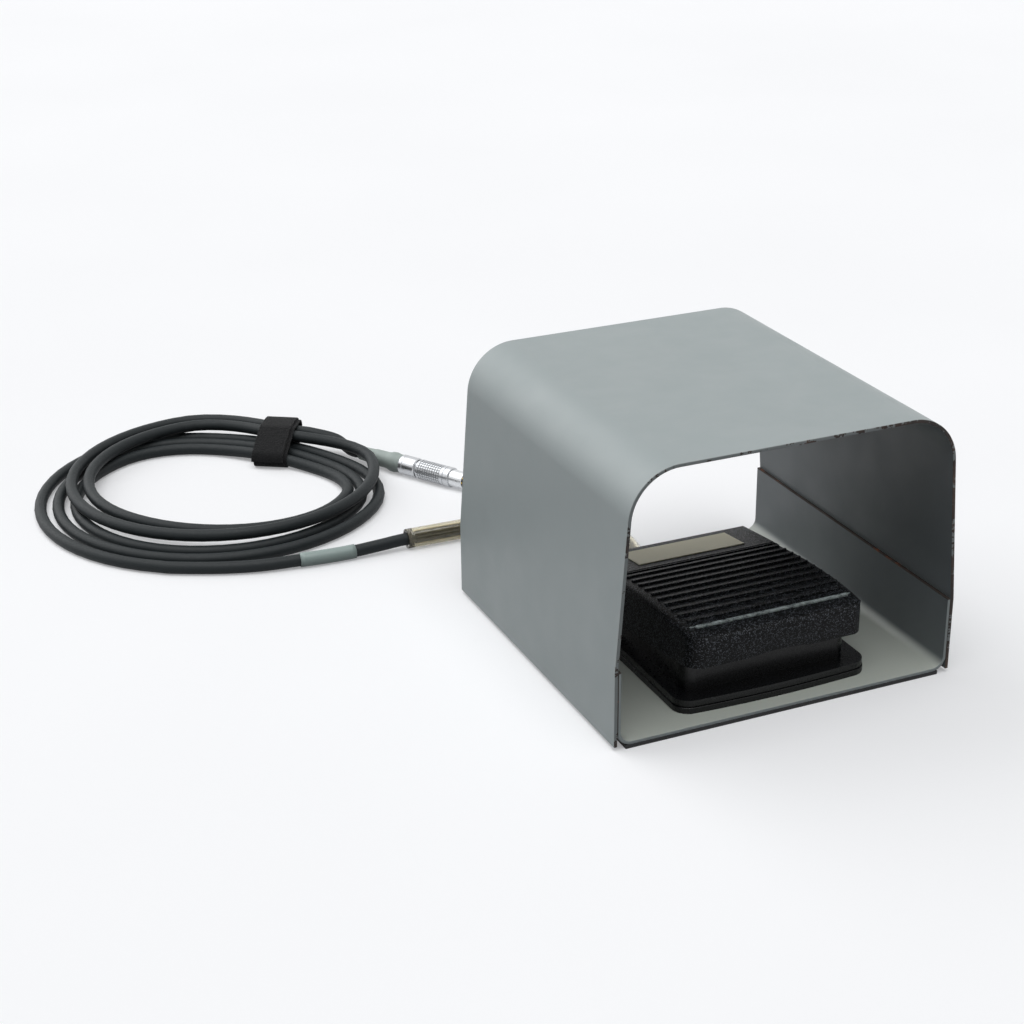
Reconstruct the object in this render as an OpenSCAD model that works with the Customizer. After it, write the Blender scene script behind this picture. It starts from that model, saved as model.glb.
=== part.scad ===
// Foot switch: a ribbed treadle on a low base, under a sheet steel hood that is open at both
// ends, with a sleeved lead that lies in a strapped coil and ends in a round push-pull plug.
// Millimetres, +Z up, the open front faces -Y. The origin is the centre of the hood's
// footprint, on the floor. Places along the depth are given from the hood's front edge.

/* [Guard and tray] */
// Outside width of the guard
guard_w = 182; // [160:1:220]
// Depth of the guard and the tray, front to back
guard_d = 181; // [165:1:220]
// Height of the switch above the floor
total_h = 137; // [110:1:170]
// Thickness of the guard and tray sheet
sheet_t = 1.7; // [1.2:0.1:3]
// Outside radius of the guard's top bends
bend_r = 25.4; // [15:0.1:35]
// Inward lean of the guard's upper walls, as a share of their length
lean = 0.07584; // [0:0.00001:0.14]
// Height of the tray walls above the tray's underside
tray_wall_h = 38.3; // [30:0.1:50]
// Outside radius of the tray's bends
tray_bend_r = 7.5; // [4:0.1:12]
// Thickness of the rubber mat below the tray
mat_t = 2; // [1.8:0.1:5]
// Width of the rubber mat
mat_w = 170; // [150:1:180]

/* [Base] */
// Half width of the bottom plate
plate_half_w = 51.9; // [50:0.1:56]
// Front of the bottom plate, from the guard's front
plate_front = 8.3; // [6:0.1:15]
// Rear of the bottom plate and base, from the guard's front
base_rear = 134; // [130:0.5:140]
// Thickness of the bottom plate
plate_t = 3.1; // [2.5:0.1:4]
// Corner radius of the bottom plate and of the base's lip
lip_r = 8.5; // [5:0.1:12]
// Bow of the front edges of the plate, lip and treadle
front_bow = 1.6; // [0.5:0.1:3]
// Thickness of the seal between plate and base
seal_t = 0.6; // [0.4:0.1:1]
// How far the seal stands back from the lips
seal_inset = 1; // [0.5:0.1:2]
// Half width of the base's lip
lip_half_w = 51.6; // [49:0.1:55]
// Front of the base's lip, from the guard's front
lip_front = 8.6; // [7:0.1:15]
// Thickness of the base's lip
lip_t = 3.1; // [2.5:0.1:4]
// Thickness of the base's floor
base_floor_t = 2.1; // [1.8:0.1:3]
// Half width over the base's side walls
wall_half_w = 44.6; // [43:0.1:44.8]
// Front wall of the base, from the guard's front
wall_front = 19.5; // [17:0.1:24]
// Rear wall of the base, from the guard's front
wall_rear = 121; // [119:0.1:121.2]
// Thickness of the base's walls
wall_t = 2.5; // [2:0.1:3]
// Corner radius of the base's walls
wall_r = 6.5; // [4:0.1:10]
// Height of the top of the base's walls above the floor
wall_top = 30; // [26:0.1:30.5]

/* [Treadle] */
// Half width over the treadle's skirt
tread_half_w = 47; // [46.5:0.1:50]
// Front of the treadle's nose, from the guard's front
nose_front = 5.8; // [4:0.1:8]
// Rear of the treadle, from the guard's front
tread_rear = 125; // [124.5:0.1:127]
// Corner radius of the treadle in plan
tread_r = 9; // [5:0.1:12]
// Thickness of the treadle's top
tread_top_t = 3; // [2:0.1:3.2]
// Thickness of the treadle's skirt
skirt_t = 1.7; // [1.5:0.1:1.8]
// Rounding of the treadle's side edges
side_round_r = 4; // [1:0.1:5]
// Rounding of the nose and of the rear edge
nose_round_r = 6; // [3:0.1:7]
// Place of the crest of the tread, from the guard's front
crest_at = 30; // [25:0.5:35]
// Height of the crest, without its rib
crest_h = 45.6; // [44:0.1:47]
// Radius of the tread in front of the crest
front_arc_r = 130; // [100:1:200]
// Radius of the tread behind the crest
rear_arc_r = 376; // [330:1:420]
// Height of the nose's lower edge
nose_low_h = 28; // [27:0.1:30]
// Height of the skirt's lower edge at the rear
skirt_low_h = 13; // [12.6:0.1:14]
// Place where the skirt's lower edge turns level, from the guard's front
skirt_level_at = 105; // [100:1:110]
// Number of ribs across the tread
rib_count = 12; // [8:1:14]
// Spacing of the ribs
rib_pitch = 6.7; // [5:0.1:8]
// Place of the first rib, from the guard's front
rib_first_at = 16.4; // [14:0.1:20]
// Width of a rib
rib_w = 1.8; // [1:0.1:3]
// Height of a rib
rib_h = 1; // [0.5:0.1:2]
// Half length of the ribs
rib_half_l = 43.6; // [40:0.1:44]
// How much shorter the front rib is at each end
rib_shorter_l = 2.4; // [0:0.1:4]
// Front of the level field behind the ribs, from the guard's front
field_at = 92; // [90.5:0.1:95]
// Height of that field at its front
field_h = 41.3; // [40.8:0.1:42]
// Downward slope of that field, degrees
field_deg = 7; // [4:0.1:9]
// Place of the hinge, from the guard's front
hinge_at = 117; // [114:0.5:118]
// Height of the hinge
hinge_h = 18; // [17:0.1:20]
// Travel of the treadle, degrees
tread_travel_deg = 6; // [4:0.1:6]
// Length of the blank plate on the treadle
label_l = 60; // [40:1:75]
// Depth of the blank plate
label_d = 20.6; // [15:0.1:22]
// Thickness of the blank plate
label_t = 0.5; // [0.3:0.1:1]
// Margin of the field in front of the blank plate
label_back = 3; // [1:0.1:6]

/* [Lead] */
// Diameter of the cable
cable_d = 6.9; // [6:0.1:7.2]
// Outside diameter of the clear sleeve over the first stretch
sleeve_d = 11; // [10:0.1:11.5]
// Inside diameter of the clear sleeve
sleeve_bore = 7.9; // [7.6:0.1:8.6]
// Diameter over the blank marker wrap
marker_d = 8; // [7.6:0.1:9]
// Height of the cable where it leaves the base
exit_h = 13.2; // [13:0.1:14]
// Number of turns in the coil
coil_turns = 4.56; // [3:0.01:6]
// Turns in the coil's lower layer
coil_low_turns = 2.6; // [2:0.1:3]
// Radius of the coil at its start
coil_r = 104.4; // [90:0.1:120]
// Step inwards of each lower turn
coil_in_step = 10.2; // [8.6:0.1:12]
// Step outwards of each upper turn
coil_out_step = 9.4; // [8:0.1:12]
// Diameter of the plug
plug_d = 12.1; // [11:0.1:12.3]

/* [Hidden] */
$fn = 96;

// Counts of sides for the great arcs and for the cords
arc_fn = 720;
cord_sides = 12;
coil_sides = 6;
// Overrun of every cut past the face that it opens
cut = 1;
front_y = -guard_d / 2;

// Guard and tray outline
half_w = guard_w / 2;
kink_h = mat_t + tray_wall_h;
bend_h = total_h - bend_r;
bend_x = half_w - (bend_r + lean * (bend_h - kink_h)) / sqrt(1 - lean * lean);
lean_wall_l = (bend_h + bend_r * lean - kink_h) / sqrt(1 - lean * lean) + sheet_t;
inner_half_w = half_w - sheet_t;
inner_bend_r = bend_r - sheet_t;
mat_hole_r = 5;
tray_floor_h = mat_t + sheet_t;

// Levels of the base
seal_h = tray_floor_h + plate_t;
lip_h = seal_h + seal_t;
lip_top = lip_h + lip_t;
deck_h = lip_h + base_floor_t;
wall_in_half_w = wall_half_w - wall_t;

// Screws that hold the base to the tray
mount_x = 34;
mount_at = [62, 104];
mount_r = 2;
mount_clear_r = 2.2;
mount_head_r = 3.8;
mount_head_t = 1.7;
mount_boss_r = 5;
mount_boss_h = 5.5;
mount_tip_h = 4;

// Springs and stops
spring_x = 30;
spring_at = 45;
spring_wire_r = 0.7;
spring_r = 4.8;
spring_turns = 7;
spring_rings = 16;
spring_sides = 6;
spring_seat_r = 3.6;
spring_seat_h = 5;
spring_closed_pitch = 1.7;
spring_fit = 0.3;
stop_x = 36;
stop_at = 28;
stop_r = 6;
stop_post_h = 10.5;
stop_pad_t = 4;
stop_boss_r = 4;
stop_fit = 0.6;
stop_boss_low = deck_h + stop_post_h + stop_pad_t
                + (hinge_at - stop_at) * tan(tread_travel_deg) + stop_fit;

// Hinge pins and their bearings in the base
pin_r = 2;
pin_fit = 0.05;
pin_in_x = 39;
bearing_r = 4.2;
bearing_x = 38.5;

// Cable block at the rear of the base
block_half_w = 18;
block_top = 21;
grommet_r = 7.4;
grommet_t = 3;
sleeve_start_at = 125;
cable_end_at = 106;
notch_half_w = 20.5;
notch_top = 24.5;
cable_r = cable_d / 2;
cable_fit = 0.2;

// Snap switch in the base
switch_l = 27.8;
switch_w = 10.3;
switch_h = 15.9;
switch_at = 74;
switch_low = 15.2;
switch_top = switch_low + switch_h;
pivot_at = 98;
pivot_h = 32.3;
lever_rest_deg = 9.5;
lever_l = 25.5;
lever_w = 5;
lever_t = 0.5;
lever_pin_r = 0.75;
lever_pin_half_l = 4.4;
ear_in_x = 3;
ear_t = 1.4;
ear_r = 1.6;
knuckle_r = 1.15;
boss_at = 75;
boss_h = 39.1;
boss_r = 2.5;
boss_half_w = 4;
plunger_at = 91;
plunger_w = 3;
plunger_d = 2.4;
plunger_top = 32.95;
plunger_low = 27;
plunger_well = 25.4;
plunger_fit = 0.08;
screw_r = 1.5;
screw_clear_r = 1.6;
screw_head_r = 2.8;
screw_head_t = 1.8;
switch_screw_at = [77, 99];
switch_screw_h = 18.4;
bracket_t = 1.5;
bracket_top = 29;
bracket_foot = 12;
bracket_screw_at = [80, 96];
terminal_at = [78, 88, 98];
terminal_x = -2.4;
terminal_t = 0.8;
terminal_w = 4;
terminal_l = 4.8;
wire_r = 0.7;
wire_sides = 8;

// Clamp over the cable
clamp_w = 26;
clamp_d = 7;
clamp_at = 108;
clamp_roof_t = 1.4;
clamp_screw_x = 9;
clamp_ear_t = 2;
clamp_wall_t = 1.6;

// Route of the lead from the base to the coil: hand-placed points
lead_points = [[0, 43.5, 13.2], [0, 51, 13.1], [0.5, 60, 12.4], [3, 74.5, 11],
               [6, 89.5, 9.8], [6.5, 105, 8], [2.5, 121.5, 6.4], [-8.5, 137.5, 5.7],
               [-25, 149.5, 5.6], [-45, 154.5, 5.6], [-66, 155, 5.6], [-97, 155.5, 5.6],
               [-112, 155.5, 4.9], [-127.5, 155.5, 4.2], [-143, 156, 4.1],
               [-158.5, 157.5, 4.1], [-180, 161, 3.7], [-201, 168, 3.5]];
lead_rings = 3;
sleeve_last = 11;
marker_first = 13;
marker_last = 15;

// Coil: a spiral in, a climb with a step outwards, and a spiral out, drawn in at the strap
coil_x = -172;
coil_y = 270;
coil_start_deg = 236.3;
coil_floor_h = 3.5;
coil_layer = 7.6;
coil_climb_turns = 0.5;
coil_step_out = 3;
coil_step_from = 0.15;
coil_step_over = 0.6;
coil_shift_x = 8.5;
coil_shift_y = 6.5;
coil_mid_r = 88;
coil_draw_share = 0.27;
coil_upper_draw_share = 0.95;
coil_waist_share = 0.1;
coil_lower_half_deg = 80;
coil_upper_half_deg = 52;
coil_lift = 1.8;
coil_lift_half_deg = 40;
coil_rings = 24;
strap_deg = 41;
strap_l = 20.5;
strap_t = 1.2;
strap_low = 0.15;
strap_in_r = 51.4;
strap_out_r = 87.8;
strap_top = 16.4;
strap_r = 4;
strap_tab_t = 1.2;

// Plug: its axis lies level, pointing to the front and right
plug_x = -60.4;
plug_y = 255.9;
plug_deg = -59.1;
plug_h = 6.2;
boot_l = 32.5;
boot_r = 4.1;
boot_step_at = 10.8;
boot_shoulder_at = 24.4;
nut_l = 12;
nut_edge = 0.6;
gap_l = 1.1;
grip_l = 24.5;
grip_groove = 0.4;
grip_groove_l = 1.2;
grip_groove_at = [20.1, 22.1];
shell_r = 4.6;
shell_nose_r = 5.2;
shell_nose_bore_r = 4.3;
grip_bore_r = 4.7;
grip_front_bore_r = 5.3;
grip_front_l = 3;
nose_l = 9;
plug_insert_l = 12;
contact_r = 0.5;
contact_ring_r = 2.4;
contact_l = 4;
contact_count = 5;

// Cords: points, directions and tubes
function unit(v) = v / norm(v);
function mix_at(p, i) = p[max(0, min(len(p) - 1, i))];
function spline_at(a, b, c, d, t) =
    0.5 * (2 * b + (c - a) * t + (2 * a - 5 * b + 4 * c - d) * t * t
           + (3 * b - a - 3 * c + d) * t * t * t);
function spline(p, k) =
    [for (i = [0 : len(p) - 2], j = [0 : k - 1])
        spline_at(mix_at(p, i - 1), p[i], p[i + 1], mix_at(p, i + 2), j / k), p[len(p) - 1]];
function slopes(p) =
    [for (i = [0 : len(p) - 1]) unit(mix_at(p, i + 1) - mix_at(p, i - 1))];
function side_of(t) = unit(cross(t, [0, 0, 1]));
function ring_at(c, t, r, n) =
    let (s = side_of(t), u = cross(s, t))
    [for (k = [0 : n - 1]) c + r * (cos(360 * k / n) * s + sin(360 * k / n) * u)];
function swept(c, t, r, n) = [for (i = [0 : len(c) - 1]) each ring_at(c[i], t[i], r, n)];
function band(i, n, a, b) =
    [for (k = [0 : n - 1]) let (m = (k + 1) % n)
        each [[a + k, a + m, b + k], [a + m, b + m, b + k]]];

function fan(a, n, flip) =
    [for (k = [1 : n - 2]) flip ? [a, a + k, a + k + 1] : [a, a + k + 1, a + k]];

module tube(c, t, r, n) {
    m = len(c);
    faces = [for (i = [0 : m - 2]) each band(i, n, i * n, (i + 1) * n)];
    polyhedron(swept(c, t, r, n),
               concat(faces, fan(0, n, false), fan((m - 1) * n, n, true)));
}

module hollow_tube(c, t, r, bore, n) {
    m = len(c);
    k = m * n;
    outer = [for (i = [0 : m - 2]) each band(i, n, i * n, (i + 1) * n)];
    inner = [for (i = [0 : m - 2]) each band(i, n, k + (i + 1) * n, k + i * n)];
    first = band(0, n, k, 0);
    last = band(0, n, (m - 1) * n, k + (m - 1) * n);
    polyhedron(concat(swept(c, t, r, n), swept(c, t, bore, n)),
               concat(outer, inner, first, last));
}

lead_run = 8;
tail_mid = [-86.5, 303, 9.8];
coil_step_deg = 0.5;

function smooth(x) = let (t = max(0, min(1, x))) t * t * (3 - 2 * t);
function turned(a, c) = let (d = (a - c + 180) % 360) (d < 0 ? d + 360 : d) - 180;
function swell(d, half) = abs(d) < half ? (1 + cos(180 * d / half)) / 2 : 0;
function spiral_r(u) =
    let (low = coil_low_turns, c = coil_climb_turns, x = (u - low) / c)
    u < low ? coil_r - coil_in_step * u
    : u < low + c ? coil_r - coil_in_step * (low + c * (x - x * x / 2))
                    + coil_out_step * c * x * x / 2
    : coil_r - coil_in_step * (low + c / 2) + coil_out_step * (u - low - c / 2);
function coil_point(u) =
    let (a = coil_start_deg - 360 * u,
         s = smooth((u - coil_low_turns) / coil_climb_turns),
         o = smooth((u - coil_low_turns - coil_step_from) / coil_step_over),
         half = coil_lower_half_deg + (coil_upper_half_deg - coil_lower_half_deg) * s,
         d = turned(a, strap_deg),
         b = swell(d, half),
         draw = coil_draw_share * (1 - (1 - coil_upper_draw_share) * s),
         r = coil_mid_r * (1 - draw * b)
             + (spiral_r(u) + coil_step_out * o - coil_mid_r) * (1 - coil_waist_share * b))
    [coil_x + coil_shift_x * s + r * cos(a), coil_y + coil_shift_y * s + r * sin(a),
     coil_floor_h + coil_layer * s + coil_lift * swell(d, coil_lift_half_deg)];
function coil_dir(u) =
    let (e = coil_step_deg / 360) unit(coil_point(u + e) - coil_point(u - e));

coil_steps = floor(coil_turns * coil_rings);
coil_us = concat([for (i = [0 : coil_steps - 1]) i / coil_rings], [coil_turns]);
coil_c = [for (u = coil_us) coil_point(u)];
coil_t = [for (u = coil_us) coil_dir(u)];
coil_end = coil_point(coil_turns);

// Least gap of the coil to itself, from each point to the strands half a turn off or more
function leg_gap(p, a, b) =
    let (v = b - a, t = max(0, min(1, (p - a) * v / (v * v)))) norm(p - a - t * v);
coil_gap = min([for (i = [0 : len(coil_c) - 1],
                     j = [i + coil_rings / 2 : 1 : len(coil_c) - 2])
                    leg_gap(coil_c[i], coil_c[j], coil_c[j + 1])]) - cable_d;

plug_dir = [cos(plug_deg), sin(plug_deg), 0];
boot_start = [plug_x, plug_y, plug_h] - boot_l * plug_dir;
lead_ctrl = concat(lead_points,
                   [coil_point(0) - lead_run * coil_dir(0), coil_point(0)]);
lead_c = spline(lead_ctrl, lead_rings);
lead_s = slopes(lead_c);
lead_t = [for (i = [0 : len(lead_c) - 1])
          i == 0 ? [0, 1, 0] : i == len(lead_c) - 1 ? coil_dir(0) : lead_s[i]];
tail_from = coil_end + lead_run * coil_dir(coil_turns);
tail_to = boot_start - lead_run * plug_dir;
tail_c = spline([coil_end, tail_from, tail_mid, tail_to, boot_start], lead_rings);
tail_s = slopes(tail_c);
tail_t = [for (i = [0 : len(tail_c) - 1])
          i == 0 ? coil_dir(coil_turns) : i == len(tail_c) - 1 ? plug_dir : tail_s[i]];

function run_of(c) =
    [for (i = [1 : len(c) - 1]) norm(c[i] - c[i - 1])] * [for (i = [1 : len(c) - 1]) 1];
echo(coil_gap = coil_gap, lead = run_of(lead_c), coil = run_of(coil_c), tail = run_of(tail_c));

// Shared shapes
module at_depth(y, z) {
    translate([0, front_y + y, z])
        children();
}

module rounded(half_x, y0, y1, r) {
    translate([-half_x + r, y0])
        square([2 * (half_x - r), y1 - y0]);
    translate([-half_x, y0 + r])
        square([2 * half_x, y1 - y0 - 2 * r]);
    for (x = [r - half_x, half_x - r], y = [y0 + r, y1 - r])
        translate([x, y])
            circle(r);
}

// Rounded rectangle whose front edge is bowed forwards
module bowed(half_x, y0, y1, r) {
    chord = half_x - r;
    arc_r = (chord * chord + front_bow * front_bow) / (2 * front_bow);
    rounded(half_x, y0 + front_bow, y1, r);
    intersection() {
        translate([0, y0 + arc_r])
            circle(arc_r, $fn = arc_fn);
        translate([-chord, y0 - cut])
            square([2 * chord, r + cut]);
    }
}

module slab(h0, h1) {
    at_depth(0, h0)
        linear_extrude(h1 - h0)
            children();
}

// A shape drawn in the plane of depth and height, run across the width
module across(half_x) {
    translate([-half_x, front_y, 0])
        rotate([90, 0, 90])
            linear_extrude(2 * half_x)
                children();
}

// A round bar across the width, from x0 to x1
module cross_bar(x0, x1, y, z, r) {
    translate([x0, front_y + y, z])
        rotate([0, 90, 0])
            cylinder(h = x1 - x0, r = r);
}

module post(x, y, h0, h1, r) {
    translate([x, front_y + y, h0])
        cylinder(h = h1 - h0, r = r);
}

module block(x0, x1, y0, y1, h0, h1) {
    translate([x0, front_y + y0, h0])
        cube([x1 - x0, y1 - y0, h1 - h0]);
}

// Guard: what is drawn upright is turned to lean with the wall
module leaning() {
    c = sqrt(1 - lean * lean);
    multmatrix([[c, lean, 0, 0], [-lean, c, 0, 0], [0, 0, 1, 0], [0, 0, 0, 1]])
        children();
}

// One half of the sheet, with its bend, its leaning wall and its upright wall
module guard_half() {
    translate([-bend_x, bend_h]) {
        difference() {
            intersection() {
                circle(bend_r);
                translate([-bend_r, 0])
                    square(bend_r);
            }
            circle(inner_bend_r);
            leaning()
                translate([-bend_r - cut, -bend_r])
                    square([bend_r + cut, bend_r]);
        }
        translate([0, inner_bend_r])
            square([bend_x + sheet_t, sheet_t]);
    }
    intersection() {
        translate([-bend_x, bend_h])
            leaning()
                translate([-bend_r, -lean_wall_l])
                    square([sheet_t, lean_wall_l]);
        translate([-half_w, mat_t])
            square([half_w, total_h]);
    }
    translate([-half_w, mat_t])
        square([sheet_t, tray_wall_h]);
}

module guard_cover() {
    color([0.56, 0.6, 0.6])
        translate([0, guard_d / 2, 0])
            rotate([90, 0, 0])
                linear_extrude(guard_d) {
                    guard_half();
                    mirror([1, 0])
                        guard_half();
                }
}

module tray_outline(half_x, r, low, high) {
    translate([-half_x, low + r])
        square([2 * half_x, high - low - r]);
    translate([r - half_x, low])
        square([2 * (half_x - r), high - low]);
    for (x = [r - half_x, half_x - r])
        translate([x, low + r])
            circle(r);
}

module base_tray() {
    color([0.55, 0.59, 0.59])
        difference() {
            translate([0, guard_d / 2, 0])
                rotate([90, 0, 0])
                    linear_extrude(guard_d)
                        difference() {
                            tray_outline(inner_half_w, tray_bend_r, mat_t, kink_h);
                            tray_outline(inner_half_w - sheet_t, tray_bend_r - sheet_t,
                                         tray_floor_h, kink_h + cut);
                        }
            for (x = [-mount_x, mount_x], y = mount_at)
                post(x, y, mat_t - cut, tray_floor_h + cut, mount_clear_r);
        }
}

module floor_mat() {
    color([0.07, 0.07, 0.07])
        difference() {
            block(-mat_w / 2, mat_w / 2, 0, guard_d, 0, mat_t);
            for (x = [-mount_x, mount_x], y = mount_at)
                post(x, y, -cut, mat_t + cut, mat_hole_r);
        }
}

// Base
module bottom_plate() {
    color([0.09, 0.09, 0.1])
        difference() {
            slab(tray_floor_h, seal_h)
                bowed(plate_half_w, plate_front, base_rear, lip_r);
            for (x = [-mount_x, mount_x], y = mount_at)
                post(x, y, tray_floor_h - cut, seal_h + cut, mount_clear_r);
        }
}

module base_seal() {
    color([0.03, 0.03, 0.03])
        difference() {
            slab(seal_h, lip_h)
                bowed(lip_half_w - seal_inset, lip_front + seal_inset,
                      base_rear - seal_inset, lip_r - seal_inset);
            for (x = [-mount_x, mount_x], y = mount_at)
                post(x, y, seal_h - cut, lip_h + cut, mount_clear_r);
        }
}

module switch_base() {
    color([0.1, 0.1, 0.11])
        difference() {
            union() {
                difference() {
                    union() {
                        slab(lip_h, lip_top)
                            bowed(lip_half_w, lip_front, base_rear, lip_r);
                        slab(lip_h, wall_top)
                            rounded(wall_half_w, wall_front, wall_rear, wall_r);
                    }
                    slab(deck_h, wall_top + cut)
                        rounded(wall_in_half_w, wall_front + wall_t, wall_rear - wall_t,
                                wall_r - wall_t);
                }
                block(-block_half_w, block_half_w, wall_rear - wall_t, base_rear,
                      lip_h, block_top);
                for (x = [-stop_x, stop_x])
                    post(x, stop_at, lip_h, deck_h + stop_post_h, stop_r);
                for (x = [-spring_x, spring_x])
                    post(x, spring_at, lip_h, deck_h + spring_seat_h, spring_seat_r);
                for (x = [-mount_x, mount_x], y = mount_at)
                    post(x, y, lip_h, deck_h + mount_boss_h, mount_boss_r);
                for (x = [-wall_in_half_w - wall_t / 5, bearing_x])
                    cross_bar(x, x + wall_in_half_w + wall_t / 5 - bearing_x, hinge_at,
                              hinge_h, bearing_r);
            }
            for (x = [-mount_x, mount_x], y = mount_at)
                post(x, y, lip_h - cut, deck_h + mount_tip_h, mount_r);
            cross_bar(-lip_half_w, -pin_in_x + cut, hinge_at, hinge_h, pin_r + pin_fit);
            cross_bar(pin_in_x - cut, lip_half_w, hinge_at, hinge_h, pin_r + pin_fit);
            at_depth(wall_rear - wall_t - cut, exit_h)
                rotate([-90, 0, 0])
                    cylinder(h = base_rear - wall_rear + wall_t + 2 * cut,
                             r = cable_r + cable_fit);
            at_depth(sleeve_start_at, exit_h)
                rotate([-90, 0, 0])
                    cylinder(h = base_rear - sleeve_start_at + cut, r = sleeve_d / 2);
            for (y = bracket_screw_at)
                post(bracket_foot, y, lip_h - cut, deck_h + cut, screw_r);
            for (x = [-clamp_screw_x, clamp_screw_x])
                post(x, clamp_at + clamp_d / 2, lip_h - cut, deck_h + cut, screw_r);
        }
}

module mounting_screws() {
    color([0.6, 0.6, 0.6])
        for (x = [-mount_x, mount_x], y = mount_at) {
            post(x, y, mat_t - mount_head_t, mat_t, mount_head_r);
            post(x, y, mat_t - mount_head_t / 2, deck_h + mount_tip_h, mount_r);
        }
}

// Treadle: the crown's rounded section swept along two arcs and a slope
module crown_section(r, depth) {
    low = r - depth;
    half = tread_half_w;
    translate([low, side_round_r - half])
        square([depth, 2 * (half - side_round_r)]);
    translate([low, -half])
        square([depth - side_round_r, 2 * half]);
    for (y = [side_round_r - half, half - side_round_r])
        translate([r - side_round_r, y])
            circle(side_round_r);
}

crown_depth = 36;
front_arc_deg = asin((crest_at - nose_front + cut) / front_arc_r);
rear_arc_deg = asin((field_at - crest_at) / rear_arc_r);

module crown() {
    at_depth(crest_at, crest_h - front_arc_r)
        rotate([0, -90, 0])
            rotate([0, 0, -front_arc_deg])
                rotate_extrude(angle = front_arc_deg, $fn = arc_fn)
                    crown_section(front_arc_r, crown_depth);
    at_depth(crest_at, crest_h - rear_arc_r)
        rotate([0, -90, 0])
            rotate_extrude(angle = rear_arc_deg, $fn = arc_fn)
                crown_section(rear_arc_r, crown_depth);
    at_depth(field_at, field_h)
        rotate([-field_deg, 0, 0])
            translate([0, -side_round_r, -crown_depth])
                rotate([-90, -90, 0])
                    linear_extrude(crown_depth + side_round_r)
                        crown_section(crown_depth, crown_depth);
}

// Waste outside a rounded corner, between two directions: how far it reaches, in radii
waste_reach = 3;
waste_mid_reach = 4.5;
module corner_waste(r, a0, a1) {
    mid = (a0 + a1) / 2;
    difference() {
        polygon([[0, 0], waste_reach * r * [cos(a0), sin(a0)],
                 waste_mid_reach * r * [cos(mid), sin(mid)],
                 waste_reach * r * [cos(a1), sin(a1)]]);
        circle(r);
    }
}

// The space under the tread, with a roof of flats below its arcs
module tread_hollow() {
    front_mid = (nose_front + crest_at) / 2;
    rear_mid = (crest_at + field_at) / 2;
    drop = (tread_rear - field_at) * tan(field_deg);
    polygon([[nose_front, 0], [nose_front, tread_h(nose_front) - tread_top_t],
             [front_mid, tread_h(front_mid) - tread_top_t], [crest_at, crest_h - tread_top_t],
             [rear_mid, tread_h(rear_mid) - tread_top_t], [field_at, field_h - tread_top_t],
             [tread_rear, field_h - tread_top_t - drop], [tread_rear, 0]]);
}

module skirt_waste() {
    polygon([[0, -cut], [0, nose_low_h], [nose_front + skirt_t, nose_low_h],
             [skirt_level_at, skirt_low_h], [tread_rear + cut, skirt_low_h],
             [tread_rear + cut, -cut]]);
}

// Height and slope of the bare tread at a place along it
function tread_h(y) =
    let (r = y < crest_at ? front_arc_r : rear_arc_r, d = y - crest_at)
    crest_h - r + sqrt(r * r - d * d);
function tread_deg(y) =
    asin((y - crest_at) / (y < crest_at ? front_arc_r : rear_arc_r));

module rib(y, half_l) {
    at_depth(y, tread_h(y))
        rotate([-tread_deg(y), 0, 0])
            translate([0, 0, -rib_h])
                linear_extrude(2 * rib_h) {
                    square([2 * half_l - rib_w, rib_w], center = true);
                    for (x = [rib_w / 2 - half_l, half_l - rib_w / 2])
                        translate([x, 0])
                            circle(rib_w / 2);
                }
}

rear_round_h = field_h - (tread_rear - nose_round_r - field_at) * tan(field_deg)
               - nose_round_r / cos(field_deg);
nose_round_at = nose_front + nose_round_r;
nose_round_h = tread_h(nose_round_at) - nose_round_r;

module treadle() {
    color([0.13, 0.13, 0.14])
        difference() {
            union() {
                difference() {
                    intersection() {
                        slab(0, total_h)
                            bowed(tread_half_w, nose_front, tread_rear, tread_r);
                        crown();
                    }
                    intersection() {
                        slab(-cut, total_h)
                            bowed(tread_half_w - skirt_t, nose_front + skirt_t,
                                  tread_rear - skirt_t, tread_r - skirt_t);
                        across(tread_half_w)
                            tread_hollow();
                    }
                    across(tread_half_w + cut)
                        skirt_waste();
                    across(tread_half_w + cut)
                        translate([nose_round_at, nose_round_h])
                            corner_waste(nose_round_r, 90, 180);
                    across(tread_half_w + cut)
                        translate([tread_rear - nose_round_r, rear_round_h])
                            corner_waste(nose_round_r, 0, 90 - field_deg);
                    block(-notch_half_w, notch_half_w, wall_rear, tread_rear + cut,
                          -cut, notch_top);
                }
                for (i = [0 : rib_count - 1])
                    rib(rib_first_at + i * rib_pitch,
                        rib_half_l - rib_shorter_l * max(0, 1 - i / 2));
                for (x = [-stop_x, stop_x])
                    post(x, stop_at, stop_boss_low, crest_h - tread_top_t / 2, stop_boss_r);
                for (x = [-spring_x, spring_x])
                    post(x, spring_at, tread_h(spring_at) - tread_top_t - spring_seat_h,
                         crest_h - tread_top_t / 2, spring_seat_r);
                cross_bar(-boss_half_w, boss_half_w, boss_at, boss_h, boss_r);
            }
            cross_bar(-tread_half_w - cut, -tread_half_w + skirt_t + cut, hinge_at, hinge_h,
                      pin_r);
            cross_bar(tread_half_w - skirt_t - cut, tread_half_w + cut, hinge_at, hinge_h,
                      pin_r);
        }
}

module hinge_pins() {
    color([0.6, 0.6, 0.6]) {
        cross_bar(-tread_half_w, -pin_in_x, hinge_at, hinge_h, pin_r);
        cross_bar(pin_in_x, tread_half_w, hinge_at, hinge_h, pin_r);
    }
}

module blank_plate() {
    color([0.79, 0.77, 0.68])
        at_depth(field_at, field_h)
            rotate([-field_deg, 0, 0])
                translate([-label_l / 2, label_back, 0])
                    cube([label_l, label_d, label_t]);
}

spring_low = deck_h + spring_wire_r;
spring_high = tread_h(spring_at) - tread_top_t - spring_wire_r - spring_fit;
spring_steps = spring_turns * spring_rings;

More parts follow.
